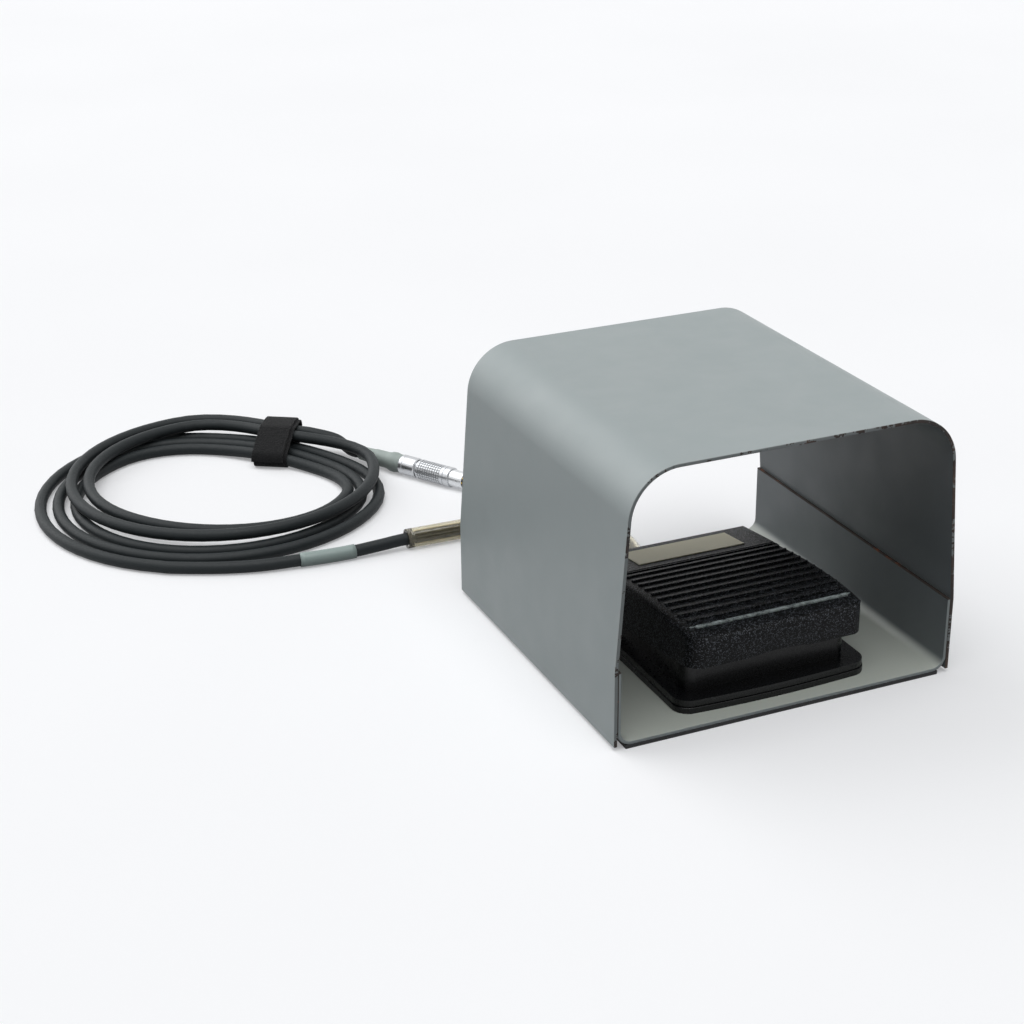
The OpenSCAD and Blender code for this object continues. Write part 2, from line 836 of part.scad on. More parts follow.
// Springs: one closed turn at each end
function spring_h(u) =
    let (open = spring_turns - 2, closed = spring_closed_pitch, n = spring_turns,
         rise = spring_high - spring_low)
    u < 1 ? spring_low + closed * u
    : u > n - 1 ? spring_high - closed * (n - u)
    : spring_low + closed + (rise - 2 * closed) * (u - 1) / open;
function spring_point(x, u) =
    [x + spring_r * cos(360 * u), front_y + spring_at + spring_r * sin(360 * u), spring_h(u)];

module return_springs() {
    color([0.7, 0.7, 0.7])
        for (x = [-spring_x, spring_x]) {
            c = [for (i = [0 : spring_steps]) spring_point(x, i / spring_rings)];
            tube(c, slopes(c), spring_wire_r, spring_sides);
        }
}

module stop_pads() {
    color([0.05, 0.05, 0.05])
        for (x = [-stop_x, stop_x])
            post(x, stop_at, deck_h + stop_post_h, deck_h + stop_post_h + stop_pad_t, stop_r);
}

// Snap switch: body, lever, plunger and what holds it
module microswitch_body() {
    color([0.12, 0.12, 0.12])
        difference() {
            union() {
                block(-switch_w / 2, switch_w / 2, switch_at, switch_at + switch_l,
                      switch_low, switch_top);
                for (x = [-ear_in_x - ear_t, ear_in_x]) {
                    cross_bar(x, x + ear_t, pivot_at, pivot_h, ear_r);
                    block(x, x + ear_t, pivot_at - ear_r, pivot_at + ear_r,
                          switch_top - cut, pivot_h);
                }
            }
            cross_bar(-switch_w, switch_w, pivot_at, pivot_h, lever_pin_r + pin_fit);
            block(-plunger_w / 2 - plunger_fit, plunger_w / 2 + plunger_fit,
                  plunger_at - plunger_d / 2 - plunger_fit,
                  plunger_at + plunger_d / 2 + plunger_fit, plunger_well, switch_top + cut);
            for (y = switch_screw_at)
                cross_bar(-switch_w, switch_w, y, switch_screw_h, screw_clear_r);
        }
}

module microswitch_lever() {
    color([0.75, 0.75, 0.75]) {
        at_depth(pivot_at, pivot_h)
            rotate([-lever_rest_deg, 0, 0])
                translate([-lever_w / 2, -lever_l, -lever_t / 2])
                    cube([lever_w, lever_l, lever_t]);
        cross_bar(lever_t - lever_w / 2, lever_w / 2 - lever_t, pivot_at, pivot_h, knuckle_r);
        cross_bar(-lever_pin_half_l, lever_pin_half_l, pivot_at, pivot_h, lever_pin_r);
    }
}

module microswitch_plunger() {
    color([0.7, 0.1, 0.08])
        block(-plunger_w / 2, plunger_w / 2, plunger_at - plunger_d / 2,
              plunger_at + plunger_d / 2, plunger_low, plunger_top);
}

module microswitch_terminals() {
    color([0.8, 0.72, 0.45])
        for (y = terminal_at)
            block(terminal_x, terminal_x + terminal_t, y - terminal_w / 2,
                  y + terminal_w / 2, switch_low - terminal_l, switch_low);
}

module switch_bracket() {
    x0 = switch_w / 2;
    y0 = switch_at - bracket_t;
    y1 = switch_at + switch_l;
    color([0.66, 0.67, 0.68])
        difference() {
            union() {
                block(x0, x0 + bracket_t, y0, y1, deck_h, bracket_top);
                block(x0, bracket_foot + 2 * screw_head_r, y0, y1, deck_h,
                      deck_h + bracket_t);
            }
            for (y = switch_screw_at)
                cross_bar(x0 - cut, x0 + bracket_t + cut, y, switch_screw_h, screw_r);
            for (y = bracket_screw_at)
                post(bracket_foot, y, deck_h - cut, deck_h + bracket_t + cut, screw_r);
        }
}

module microswitch_screws() {
    x0 = -switch_w / 2;
    color([0.7, 0.7, 0.7])
        for (y = switch_screw_at) {
            cross_bar(x0 - screw_head_t, x0, y, switch_screw_h, screw_head_r);
            cross_bar(x0 - screw_head_t / 2, -x0 + bracket_t, y, switch_screw_h, screw_r);
        }
}

module bracket_screws() {
    top = deck_h + bracket_t;
    color([0.7, 0.7, 0.7])
        for (y = bracket_screw_at) {
            post(bracket_foot, y, top, top + screw_head_t, screw_head_r);
            post(bracket_foot, y, lip_h, top + screw_head_t / 2, screw_r);
        }
}

// Wires from the two used terminals to the end of the cable
wire_points = [[[-2.4, 98, 12], [-4.4, 98, 12], [-5, 101, 12.2], [-3, 103.4, 12.6],
                [-1.6, 104.6, 13], [-1.6, 106, 13.2]],
               [[-2.4, 88, 12], [-4.4, 88, 12], [-7.4, 92, 12], [-8, 98, 12.6],
                [-5, 102.4, 14.6], [0, 104.4, 15], [1.6, 105, 14], [1.6, 106, 13.2]]];

module switch_wires() {
    color([0.75, 0.2, 0.15])
        for (p = wire_points) {
            c = spline([for (q = p) [q.x, front_y + q.y, q.z]], lead_rings);
            s = slopes(c);
            last = len(c) - 1;
            t = [for (i = [0 : last]) i == 0 ? [-1, 0, 0] : i == last ? [0, 1, 0] : s[i]];
            tube(c, t, wire_r, wire_sides);
        }
}

// Clamp that holds the cable on the base's floor
module cable_clamp() {
    half_body = cable_r + clamp_wall_t;
    color([0.15, 0.15, 0.15])
        difference() {
            union() {
                block(-clamp_w / 2, clamp_w / 2, clamp_at, clamp_at + clamp_d,
                      deck_h, deck_h + clamp_ear_t);
                block(-half_body, half_body, clamp_at, clamp_at + clamp_d,
                      deck_h, exit_h + cable_r + clamp_roof_t);
            }
            at_depth(clamp_at - cut, exit_h)
                rotate([-90, 0, 0])
                    cylinder(h = clamp_d + 2 * cut, r = cable_r);
            block(-cable_r, cable_r, clamp_at - cut, clamp_at + clamp_d + cut,
                  deck_h - cut, exit_h);
            for (x = [-clamp_screw_x, clamp_screw_x])
                post(x, clamp_at + clamp_d / 2, deck_h - cut, deck_h + clamp_ear_t + cut,
                     screw_r);
        }
}

module clamp_screws() {
    top = deck_h + clamp_ear_t;
    color([0.7, 0.7, 0.7])
        for (x = [-clamp_screw_x, clamp_screw_x]) {
            post(x, clamp_at + clamp_d / 2, top, top + screw_head_t, screw_head_r);
            post(x, clamp_at + clamp_d / 2, lip_h, top + screw_head_t / 2, screw_r);
        }
}

module cable_grommet() {
    color([0.06, 0.06, 0.06])
        at_depth(base_rear, exit_h)
            rotate([-90, 0, 0])
                difference() {
                    cylinder(h = grommet_t, r = grommet_r);
                    translate([0, 0, -cut])
                        cylinder(h = grommet_t + 2 * cut, r = sleeve_d / 2);
                }
}

module cable_inner() {
    color([0.2, 0.22, 0.23])
        at_depth(cable_end_at, exit_h)
            rotate([-90, 0, 0])
                cylinder(h = base_rear - cable_end_at, r = cable_r);
}

// Lead outside the base
module cable_lead() {
    color([0.2, 0.22, 0.23])
        tube(lead_c, lead_t, cable_r, cord_sides);
}

module clear_sleeve() {
    last = sleeve_last * lead_rings;
    c = concat([[0, front_y + sleeve_start_at, exit_h]], [for (i = [0 : last]) lead_c[i]]);
    t = concat([[0, 1, 0]], [for (i = [0 : last]) lead_t[i]]);
    color([0.75, 0.73, 0.6, 0.5])
        hollow_tube(c, t, sleeve_d / 2, sleeve_bore / 2, cord_sides);
}

module cable_marker() {
    run = [marker_first * lead_rings : marker_last * lead_rings];
    color([0.6, 0.65, 0.63])
        hollow_tube([for (i = run) lead_c[i]], [for (i = run) lead_t[i]],
                    marker_d / 2, cable_r + pin_fit, cord_sides);
}

module cable_coil() {
    color([0.2, 0.22, 0.23])
        tube(coil_c, coil_t, cable_r, coil_sides);
}

module coil_strap() {
    color([0.06, 0.06, 0.06])
        translate([coil_x, coil_y, 0])
            rotate([0, 0, strap_deg])
                translate([0, strap_l / 2, 0])
                    rotate([90, 0, 0])
                        linear_extrude(strap_l)
                            difference() {
                                union() {
                                    rounded_face(strap_in_r - strap_t,
                                                 strap_out_r + strap_t, strap_low,
                                                 strap_top + strap_t, strap_r + strap_t);
                                    translate([strap_in_r + strap_r, strap_top])
                                        square([strap_out_r - strap_in_r - 2 * strap_r,
                                                strap_t + strap_tab_t]);
                                }
                                rounded_face(strap_in_r, strap_out_r, strap_low + strap_t,
                                             strap_top, strap_r);
                            }
}

module rounded_face(x0, x1, y0, y1, r) {
    translate([(x0 + x1) / 2, 0])
        rounded((x1 - x0) / 2, y0, y1, r);
}

module cable_tail() {
    color([0.2, 0.22, 0.23])
        tube(tail_c, tail_t, cable_r, cord_sides);
}

// Plug: s runs along the axis from the rear face of its nut
module on_plug(s) {
    translate([plug_x, plug_y, plug_h])
        rotate([0, 90, plug_deg])
            translate([0, 0, s])
                children();
}

plug_r = plug_d / 2;
grip_at = nut_l + gap_l;
nose_at = grip_at + grip_l;

module plug_boot() {
    color([0.48, 0.5, 0.5])
        on_plug(-boot_l)
            rotate_extrude()
                polygon([[0, 0], [boot_r, 0], [boot_r + nut_edge, boot_step_at],
                         [plug_r - 2 * grip_groove, boot_shoulder_at],
                         [plug_r - grip_groove, boot_l], [0, boot_l]]);
}

module plug_nut() {
    color([0.75, 0.76, 0.77])
        on_plug(0)
            rotate_extrude()
                polygon([[0, 0], [plug_r - nut_edge, 0], [plug_r, nut_edge],
                         [plug_r, nut_l - nut_edge], [plug_r - nut_edge, nut_l], [0, nut_l]]);
}

module plug_shell() {
    color([0.72, 0.73, 0.74])
        on_plug(nut_l)
            difference() {
                union() {
                    cylinder(h = nose_at - nut_l, r = shell_r);
                    translate([0, 0, nose_at - nut_l - grip_front_l + gap_l])
                        cylinder(h = nose_l + grip_front_l - gap_l, r = shell_nose_r);
                }
                translate([0, 0, nose_at + nose_l - nut_l - plug_insert_l])
                    cylinder(h = plug_insert_l + cut, r = shell_nose_bore_r);
            }
}

module plug_sleeve() {
    color([0.75, 0.76, 0.77])
        on_plug(grip_at)
            difference() {
                cylinder(h = grip_l, r = plug_r);
                translate([0, 0, -cut])
                    cylinder(h = grip_l + 2 * cut, r = grip_bore_r);
                translate([0, 0, grip_l - grip_front_l])
                    cylinder(h = grip_front_l + cut, r = grip_front_bore_r);
                for (s = grip_groove_at)
                    translate([0, 0, s])
                        difference() {
                            cylinder(h = grip_groove_l / 2, r = plug_r + cut);
                            cylinder(h = grip_groove_l / 2, r = plug_r - grip_groove);
                        }
            }
}

module plug_insert() {
    color([0.1, 0.1, 0.1])
        on_plug(nose_at + nose_l - plug_insert_l)
            difference() {
                cylinder(h = plug_insert_l - contact_l - cut, r = shell_nose_bore_r);
                for (k = [0 : contact_count - 1])
                    rotate([0, 0, 360 * k / contact_count])
                        translate([contact_ring_r, 0, cut])
                            cylinder(h = plug_insert_l, r = contact_r);
            }
}

module plug_pins() {
    color([0.85, 0.68, 0.3])
        on_plug(nose_at + nose_l - plug_insert_l)
            for (k = [0 : contact_count - 1])
                rotate([0, 0, 360 * k / contact_count])
                    translate([contact_ring_r, 0, cut])
                        cylinder(h = plug_insert_l - 2 * cut, r = contact_r);
}

guard_cover();
base_tray();
floor_mat();
bottom_plate();
base_seal();
switch_base();
mounting_screws();
treadle();
hinge_pins();
blank_plate();
return_springs();
stop_pads();
microswitch_body();
microswitch_lever();
microswitch_plunger();
microswitch_terminals();
microswitch_screws();
switch_bracket();
bracket_screws();
switch_wires();
cable_clamp();
clamp_screws();
cable_grommet();
cable_inner();
clear_sleeve();
cable_lead();
cable_marker();
cable_coil();
coil_strap();
cable_tail();
plug_boot();
plug_nut();
plug_shell();
plug_sleeve();
plug_insert();
plug_pins();
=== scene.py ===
"""Looks of a guarded foot switch: paint, rubber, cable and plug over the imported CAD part."""

import math

import bmesh
import bpy
from mathutils import Matrix, Vector


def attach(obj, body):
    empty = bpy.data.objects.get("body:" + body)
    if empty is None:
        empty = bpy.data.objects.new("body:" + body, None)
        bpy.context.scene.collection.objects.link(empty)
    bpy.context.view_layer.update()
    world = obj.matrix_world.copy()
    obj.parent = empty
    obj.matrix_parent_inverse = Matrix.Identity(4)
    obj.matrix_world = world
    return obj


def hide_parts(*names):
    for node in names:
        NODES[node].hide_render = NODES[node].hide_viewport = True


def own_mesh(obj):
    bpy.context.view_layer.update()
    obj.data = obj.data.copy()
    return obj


bl_info = {
    "name": "Guarded foot switch",
    "version": (1, 0, 0),
    "blender": (4, 5, 0),
    "location": "3D View > Sidebar > Foot switch",
    "description": "Builds the looks of a guarded foot switch over its CAD frame",
    "category": "Object",
}

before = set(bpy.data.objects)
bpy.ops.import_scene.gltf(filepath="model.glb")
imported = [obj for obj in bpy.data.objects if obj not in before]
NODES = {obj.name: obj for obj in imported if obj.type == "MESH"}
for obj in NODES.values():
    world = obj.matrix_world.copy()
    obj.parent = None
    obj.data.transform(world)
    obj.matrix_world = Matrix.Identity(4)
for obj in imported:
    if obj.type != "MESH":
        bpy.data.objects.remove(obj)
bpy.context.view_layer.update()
MM = 0.001

# The guard reaches as far behind the origin as before it, and its walls lean in above the kink
FRONT_Y = -90.5
BACK_Y = -FRONT_Y
HALF_W, TOP_H, BEND_R = 91.0, 137.0, 25.4
KINK_H, FOOT_H = 40.3, 2
LEAN = math.asin(0.07584)

# The tray stands inside the guard's walls, with a round corner along each side
TRAY_HALF_W, TRAY_R = 89.3, 7.5
TRAY_X = TRAY_HALF_W - TRAY_R

# Route of the cable from the base to the coil, in millimetres
LEAD_POINTS = [
    (0, 43.5, 13.2), (0, 51, 13.1), (0.5, 60, 12.4), (3, 74.5, 11), (6, 89.5, 9.8),
    (6.5, 105, 8), (2.5, 121.5, 6.4), (-8.5, 137.5, 5.7), (-25, 149.5, 5.6),
    (-45, 154.5, 5.6), (-66, 155, 5.6), (-97, 155.5, 5.6), (-112, 155.5, 4.9),
    (-127.5, 155.5, 4.2), (-143, 156, 4.1), (-158.5, 157.5, 4.1), (-180, 161, 3.7),
    (-201, 168, 3.5),
]
SLEEVE_START = (0, 34.5, 13.2)
SLEEVE_LAST = 11
MARKER_FIRST, MARKER_LAST, MARKER_WALL = 13, 15, 0.5
LEAD_RUN, LEAD_STEPS = 8, 6
CABLE_R = 3.45
TAIL_MID = (-86.5, 303, 9.8)

# The coil: a spiral in, a climb with a step outwards, and a spiral out
COIL_CENTRE = Vector((-172, 270, 3.5))
COIL_START = 236.3
COIL_TURNS, COIL_LOW_TURNS, COIL_CLIMB = 4.56, 2.6, 0.5
COIL_R, COIL_MID_R = 104.4, 88
COIL_IN_STEP, COIL_OUT_STEP = 10.2, 9.4
COIL_SHIFT = Vector((8.5, 6.5, 7.6))
STEP_OUT, STEP_FROM, STEP_OVER = 3, 0.15, 0.6

# At the strap the turns are drawn in and lifted, each over a half width in degrees, by a share or
# a height
STRAP_DEG = 41
DRAW_LOW_DEG, DRAW_HIGH_DEG, LIFT_DEG = 80, 52, 40
DRAW_SHARE, DRAW_LESS, WAIST_SHARE, LIFT = 0.27, 0.05, 0.1, 1.8

# The strap: its middle and its turn, and for each layer how far it stands off the cable, half its
# width, how far it is moved sideways, and the height below which it is left open
STRAP_AT, STRAP_TURN, STRAP_T = Vector((-119.5, 316, 0)), 58, 1.2
STRAP_LAYERS = ((1.4, 10.25, 0, -1), (2.7, 9.7, 1.5, 4.5))
STRAP_FLOOR = 0.15

# The plug: its axis runs level from the rear face of its nut
PLUG_AT = Vector((-60.4, 255.9, 6.2))
PLUG_DEG = -59.1
BOOT_L, NUT_L, GRIP_AT, GRIP_L = 32.5, 12, 13.1, 24.5

# The treadle's ribs: the height of their tops, and the rear edge of the first one
RIB_TOP_H, RIB_BACK_Y = 45.0, FRONT_Y + 18

# The camera of the photograph: its place, its azimuth, tilt and roll, and its lens
CAMERA_AT = Vector((-452.5, -804.1, 475.9))
CAMERA_DEG = (-23.62, 23.99, -0.635)
CAMERA_LENS = 71.16

# Light: the floor's own, what the surround gives the object, and each sun's name, place, width in
# degrees and power
FLOOR_GLOW, SKY_GLOW = 0.29, 0.1
SUNS = (("key", (-1.0, 1.25, 1.2), 60, 1.5), ("top", (-0.1, -0.2, 1.0), 50, 1.95))


def smooth(x):
    """A share from 0 to 1 that starts and ends level."""
    t = max(0.0, min(1.0, x))
    return t * t * (3 - 2 * t)


def swell(d, half):
    """1 at no distance and 0 at half or more."""
    return (1 + math.cos(math.pi * d / half)) / 2 if abs(d) < half else 0


def spiral_r(u):
    """Radius of the coil after u turns, before the strap draws it in."""
    low, c = COIL_LOW_TURNS, COIL_CLIMB
    if u < low:
        return COIL_R - COIL_IN_STEP * u
    if u < low + c:
        x = (u - low) / c
        inward = COIL_IN_STEP * (low + c * (x - x * x / 2))
        return COIL_R - inward + COIL_OUT_STEP * c * x * x / 2
    return COIL_R - COIL_IN_STEP * (low + c / 2) + COIL_OUT_STEP * (u - low - c / 2)


def coil_point(u):
    """The cable's centre after u turns of the coil, in millimetres."""
    a = COIL_START - 360 * u
    s = smooth((u - COIL_LOW_TURNS) / COIL_CLIMB)
    o = smooth((u - COIL_LOW_TURNS - STEP_FROM) / STEP_OVER)
    d = (a - STRAP_DEG + 180) % 360 - 180
    b = swell(d, DRAW_LOW_DEG + (DRAW_HIGH_DEG - DRAW_LOW_DEG) * s)
    drawn = COIL_MID_R * (1 - DRAW_SHARE * (1 - DRAW_LESS * s) * b)
    r = drawn + (spiral_r(u) + STEP_OUT * o - COIL_MID_R) * (1 - WAIST_SHARE * b)
    a = math.radians(a)
    out = Vector((r * math.cos(a), r * math.sin(a), LIFT * swell(d, LIFT_DEG)))
    return COIL_CENTRE + s * COIL_SHIFT + out


def coil_dir(u):
    """Direction of the cable after u turns of the coil."""
    return (coil_point(u + 0.001) - coil_point(u - 0.001)).normalized()


def spline(points, steps):
    """Points of one smooth curve through the given points."""
    p = [Vector(q) for q in points]
    p = [p[0], *p, p[-1]]
    made = []
    for a, b, c, d in zip(p, p[1:], p[2:], p[3:]):
        for j in range(steps):
            t = j / steps
            made.append(
                0.5 * (2 * b + (c - a) * t + (2 * a - 5 * b + 4 * c - d) * t * t
                       + (3 * b - a - 3 * c + d) * t ** 3)
            )
    return made + [p[-1]]


def lead_route():
    """The cable from the base to the start of the coil."""
    start = coil_point(0)
    return spline([*LEAD_POINTS, start - LEAD_RUN * coil_dir(0), start], LEAD_STEPS)


def plug_dir():
    """Direction of the plug's axis."""
    a = math.radians(PLUG_DEG)
    return Vector((math.cos(a), math.sin(a), 0))


def cable_route():
    """The whole free cable, from the base to the plug's boot."""
    count = round(COIL_TURNS * 60)
    coil = [coil_point(COIL_TURNS * i / count) for i in range(1, count)]
    end, out = coil_point(COIL_TURNS), coil_dir(COIL_TURNS)
    boot = PLUG_AT - BOOT_L * plug_dir()
    tail = spline(
        [end, end + LEAD_RUN * out, TAIL_MID, boot - LEAD_RUN * plug_dir(), boot], 8
    )
    return lead_route() + coil + tail


def linear(code):
    """An sRGB hex colour as linear red, green and blue, and an alpha of 1."""
    def one(v):
        return v / 12.92 if v <= 0.04045 else ((v + 0.055) / 1.055) ** 2.4

    code = code.lstrip("#")
    return (*(one(int(code[i : i + 2], 16) / 255) for i in (0, 2, 4)), 1.0)


def add(tree, kind, values=(), links=(), stops=(), **settings):
    """Adds a node with its settings, its inputs' values, its links and, on a ramp, its colours."""
    made = tree.nodes.new("ShaderNode" + kind)
    for name, value in settings.items():
        setattr(made, name, value)
    for key, value in dict(values).items():
        made.inputs[key].default_value = value
    for source, key in links:
        tree.links.new(source, made.inputs[key])
    if stops:
        shades = made.color_ramp.elements
        shades[0].position, shades[1].position = stops[0][0], stops[-1][0]
        for at, _ in stops[1:-1]:
            shades.new(at)
        for shade, (_, colour) in zip(shades, stops):
            shade.color = linear(colour)
    return made


def finish(name, **sockets):
    """Starts a material: its tree, its shader with constants set, and the Object coordinates."""
    material = bpy.data.materials.new(name)
    material.use_nodes = True
    tree = material.node_tree
    shader = tree.nodes["Principled BSDF"]
    for key, value in sockets.items():
        shader.inputs[key.replace("_", " ")].default_value = value
    place = add(tree, "TexCoord").outputs["Object"]
    return material, tree, shader, place


def clouded(tree, place, colour, scale, spread):
    """A colour that drifts lighter and darker by a share, over patches of 1 / scale metres."""
    base = linear(colour)
    cloud = add(tree, "TexNoise", {"Scale": scale, "Detail": 4, "Roughness": 0.55},
                [(place, "Vector")]).outputs["Fac"]
    low, high = (tuple(min(1, c * k) for c in base[:3]) + (1,) for k in (1 - spread, 1 + spread))
    return add(tree, "Mix", {6: low, 7: high}, [(cloud, "Factor")], data_type="RGBA").outputs[2]


def object_from(name, bm, material, body="switch_frame", angle=35):
    """A finished object from a bmesh, smooth but for its sharp edges, with material and body."""
    mesh = bpy.data.meshes.new(name)
    bm.to_mesh(mesh)
    bm.free()
    mesh.shade_smooth()
    mesh.set_sharp_from_angle(angle=math.radians(angle))
    made = bpy.data.objects.new(name, mesh)
    bpy.context.scene.collection.objects.link(made)
    mesh.materials.append(material)
    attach(made, body)
    return made


def soften(made, width):
    """Rounds an object's sharp edges and evens its shading."""
    edge = made.modifiers.new("Edge", "BEVEL")
    edge.width, edge.segments = width, 2
    edge.limit_method, edge.angle_limit = "ANGLE", math.radians(50)
    edge.harden_normals = False
    made.data.set_sharp_from_angle(angle=math.radians(89))
    even = made.modifiers.new("Even", "WEIGHTED_NORMAL")
    even.keep_sharp = True
    return made


def cad_copy(node, name, material, width, body="switch_frame"):
    """A copy of a CAD node with its edges rounded, which stands for the node."""
    bm = bmesh.new()
    bm.from_mesh(NODES[node].data)
    bmesh.ops.remove_doubles(bm, verts=bm.verts, dist=1e-5)
    bmesh.ops.dissolve_limit(
        bm, angle_limit=math.radians(0.8), verts=bm.verts, edges=bm.edges
    )
    made = object_from(name, bm, material, body)
    soften(made, width)
    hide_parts(node)
    return made


def bent_sheet(start, moves):
    """A sheet as deep as the guard: a move (x, z) is straight, and (x, z, degrees) bends round a
    centre."""
    bm = bmesh.new()
    tip = bm.verts.new(Vector((start[0], FRONT_Y, start[1])) * MM)
    for move in moves:
        if len(move) == 2:
            tip = bmesh.ops.extrude_vert_indiv(bm, verts=[tip])["verts"][0]
            tip.co = Vector((move[0], FRONT_Y, move[1])) * MM
        else:
            spun = bmesh.ops.spin(
                bm, geom=[tip], cent=Vector((move[0], FRONT_Y, move[1])) * MM,
                axis=(0, 1, 0), angle=math.radians(move[2]), steps=max(8, int(abs(move[2]) / 3)),
            )
            tip = [g for g in spun["geom_last"] if isinstance(g, bmesh.types.BMVert)][0]
    run = bmesh.ops.extrude_edge_only(bm, edges=bm.edges[:])["geom"]
    bmesh.ops.translate(
        bm, verts=[g for g in run if isinstance(g, bmesh.types.BMVert)],
        vec=(0, (BACK_Y - FRONT_Y) * MM, 0),
    )
    return bm


def outwards(bm, point=(0, 0, 0)):
    """Turns an open shell's faces away from a point inside it."""
    bmesh.ops.recalc_face_normals(bm, faces=bm.faces)
    away = sum(f.normal.dot(f.calc_center_median() - Vector(point)) for f in bm.faces)
    if away < 0:
        bmesh.ops.reverse_faces(bm, faces=bm.faces)


def walled(made, thickness, inner=None):
    """Gives a sheet its thickness, inwards, and its inner side a material of its own."""
    wall = made.modifiers.new("Wall", "SOLIDIFY")
    wall.thickness, wall.offset, wall.use_even_offset = thickness, -1, True
    if inner:
        made.data.materials.append(inner)
        wall.material_offset = 1
    return made


def tube_along(points, radius):
    """A bmesh tube, open at both ends, along points in millimetres."""
    curve = bpy.data.curves.new("route", "CURVE")
    curve.dimensions = "3D"
    line = curve.splines.new("POLY")
    line.points.add(len(points) - 1)
    for at, p in zip(line.points, points):
        at.co = (*(Vector(p) * MM), 1)
    curve.bevel_depth = radius * MM
    curve.bevel_resolution = 8
    holder = bpy.data.objects.new("route", curve)
    bm = bmesh.new()
    mesh = holder.to_mesh()
    bm.from_mesh(mesh)
    holder.to_mesh_clear()
    bpy.data.objects.remove(holder)
    bpy.data.curves.remove(curve)
    bmesh.ops.remove_doubles(bm, verts=bm.verts, dist=1e-6)
    return bm


def turned_part(profile, steps=72):
    """A bmesh turned about the X axis from (place along it, radius) points in millimetres."""
    bm = bmesh.new()
    verts = [bm.verts.new(Vector((s, r, 0)) * MM) for s, r in profile]
    for a, b in zip(verts, verts[1:]):
        bm.edges.new((a, b))
    bmesh.ops.spin(
        bm, geom=bm.verts[:] + bm.edges[:], cent=(0, 0, 0), axis=(1, 0, 0),
        angle=2 * math.pi, steps=steps, use_merge=True,
    )
    bmesh.ops.remove_doubles(bm, verts=bm.verts, dist=1e-7)
    bmesh.ops.recalc_face_normals(bm, faces=bm.faces)
    return bm


def on_plug(bm, along=0):
    """Puts a turned bmesh on the plug's axis."""
    turn = Matrix.Rotation(math.radians(PLUG_DEG), 4, "Z")
    place = Matrix.Translation(PLUG_AT * MM)
    step = Matrix.Translation((along * MM, 0, 0))
    bmesh.ops.transform(bm, matrix=place @ turn @ step, verts=bm.verts)
    return bm


def satin_paint(name, colour, bare, worn_where, dust=None):
    """Satin enamel sprayed on sheet steel: a faint orange peel, worn through where worn_where
    gives 1. With dust, a pale coat of it lies on the level floor of the sheet."""
    material, tree, shader, place = finish(name, Metallic=0.0, IOR=1.5)
    tone = clouded(tree, place, colour, 14, 0.05)
    axes = add(tree, "SeparateXYZ", links=[(place, "Vector")]).outputs
    worn = worn_where(tree, place, axes)
    if dust:
        low = add(tree, "MapRange", {"From Min": 8 * MM, "From Max": 4 * MM, "To Max": 0.8},
                  [(axes["Z"], "Value")], clamp=True).outputs[0]
        tone = add(tree, "Mix", {7: linear(dust)}, [(low, "Factor"), (tone, 6)],
                   data_type="RGBA").outputs[2]
    rust = add(tree, "TexNoise", {"Scale": 42, "Detail": 5, "Roughness": 0.7}, [(place, "Vector")])
    steel = add(tree, "ValToRGB", links=[(rust.outputs["Fac"], "Fac")], stops=bare).outputs["Color"]
    mix = add(tree, "Mix", links=[(worn, "Factor"), (tone, 6), (steel, 7)], data_type="RGBA")
    # Faint rubbed marks and dust keep the paint from one even tone
    marks = add(tree, "TexNoise", {"Scale": 260, "Detail": 6, "Roughness": 0.8},
                [(place, "Vector")])
    speck = add(tree, "MapRange", {"From Min": 0.7, "From Max": 0.8, "To Max": 0.3},
                [(marks.outputs["Fac"], "Value")], clamp=True)
    dusty = add(tree, "Mix", {7: linear("#C9C8BC")},
                [(speck.outputs[0], "Factor"), (mix.outputs[2], 6)], data_type="RGBA")
    tree.links.new(dusty.outputs[2], shader.inputs["Base Color"])
    wear = add(tree, "TexNoise", {"Scale": 55, "Detail": 5}, [(place, "Vector")])
    rough = add(tree, "MapRange",
                {"From Min": 0.3, "From Max": 0.7, "To Min": 0.38, "To Max": 0.52},
                [(wear.outputs["Fac"], "Value")])
    dull = add(tree, "Math", {1: 0.3}, [(worn, 0)], operation="MULTIPLY")
    gloss = add(tree, "Math", links=[(rough.outputs[0], 0), (dull.outputs[0], 1)], operation="ADD")
    tree.links.new(gloss.outputs[0], shader.inputs["Roughness"])
    peel = add(tree, "TexNoise", {"Scale": 600, "Detail": 2}, [(place, "Vector")])
    dip = add(tree, "Math", {1: -1.5}, [(worn, 0)], operation="MULTIPLY")
    height = add(tree, "Math", links=[(peel.outputs["Fac"], 0), (dip.outputs[0], 1)],
                 operation="ADD")
    bump = add(tree, "Bump", {"Strength": 0.12, "Distance": 0.0002},
               [(height.outputs[0], "Height")])
    tree.links.new(bump.outputs["Normal"], shader.inputs["Normal"])
    return material


def cut_edges(tree, axes, start, end):
    """1 on a sheet's front and rear edges: it grows from 0 between two distances short of them."""
    depth = add(tree, "Math", links=[(axes["Y"], 0)], operation="ABSOLUTE").outputs[0]
    return add(tree, "MapRange",
               {"From Min": (BACK_Y - start) * MM, "From Max": (BACK_Y - end) * MM},
               [(depth, "Value")], clamp=True).outputs[0]


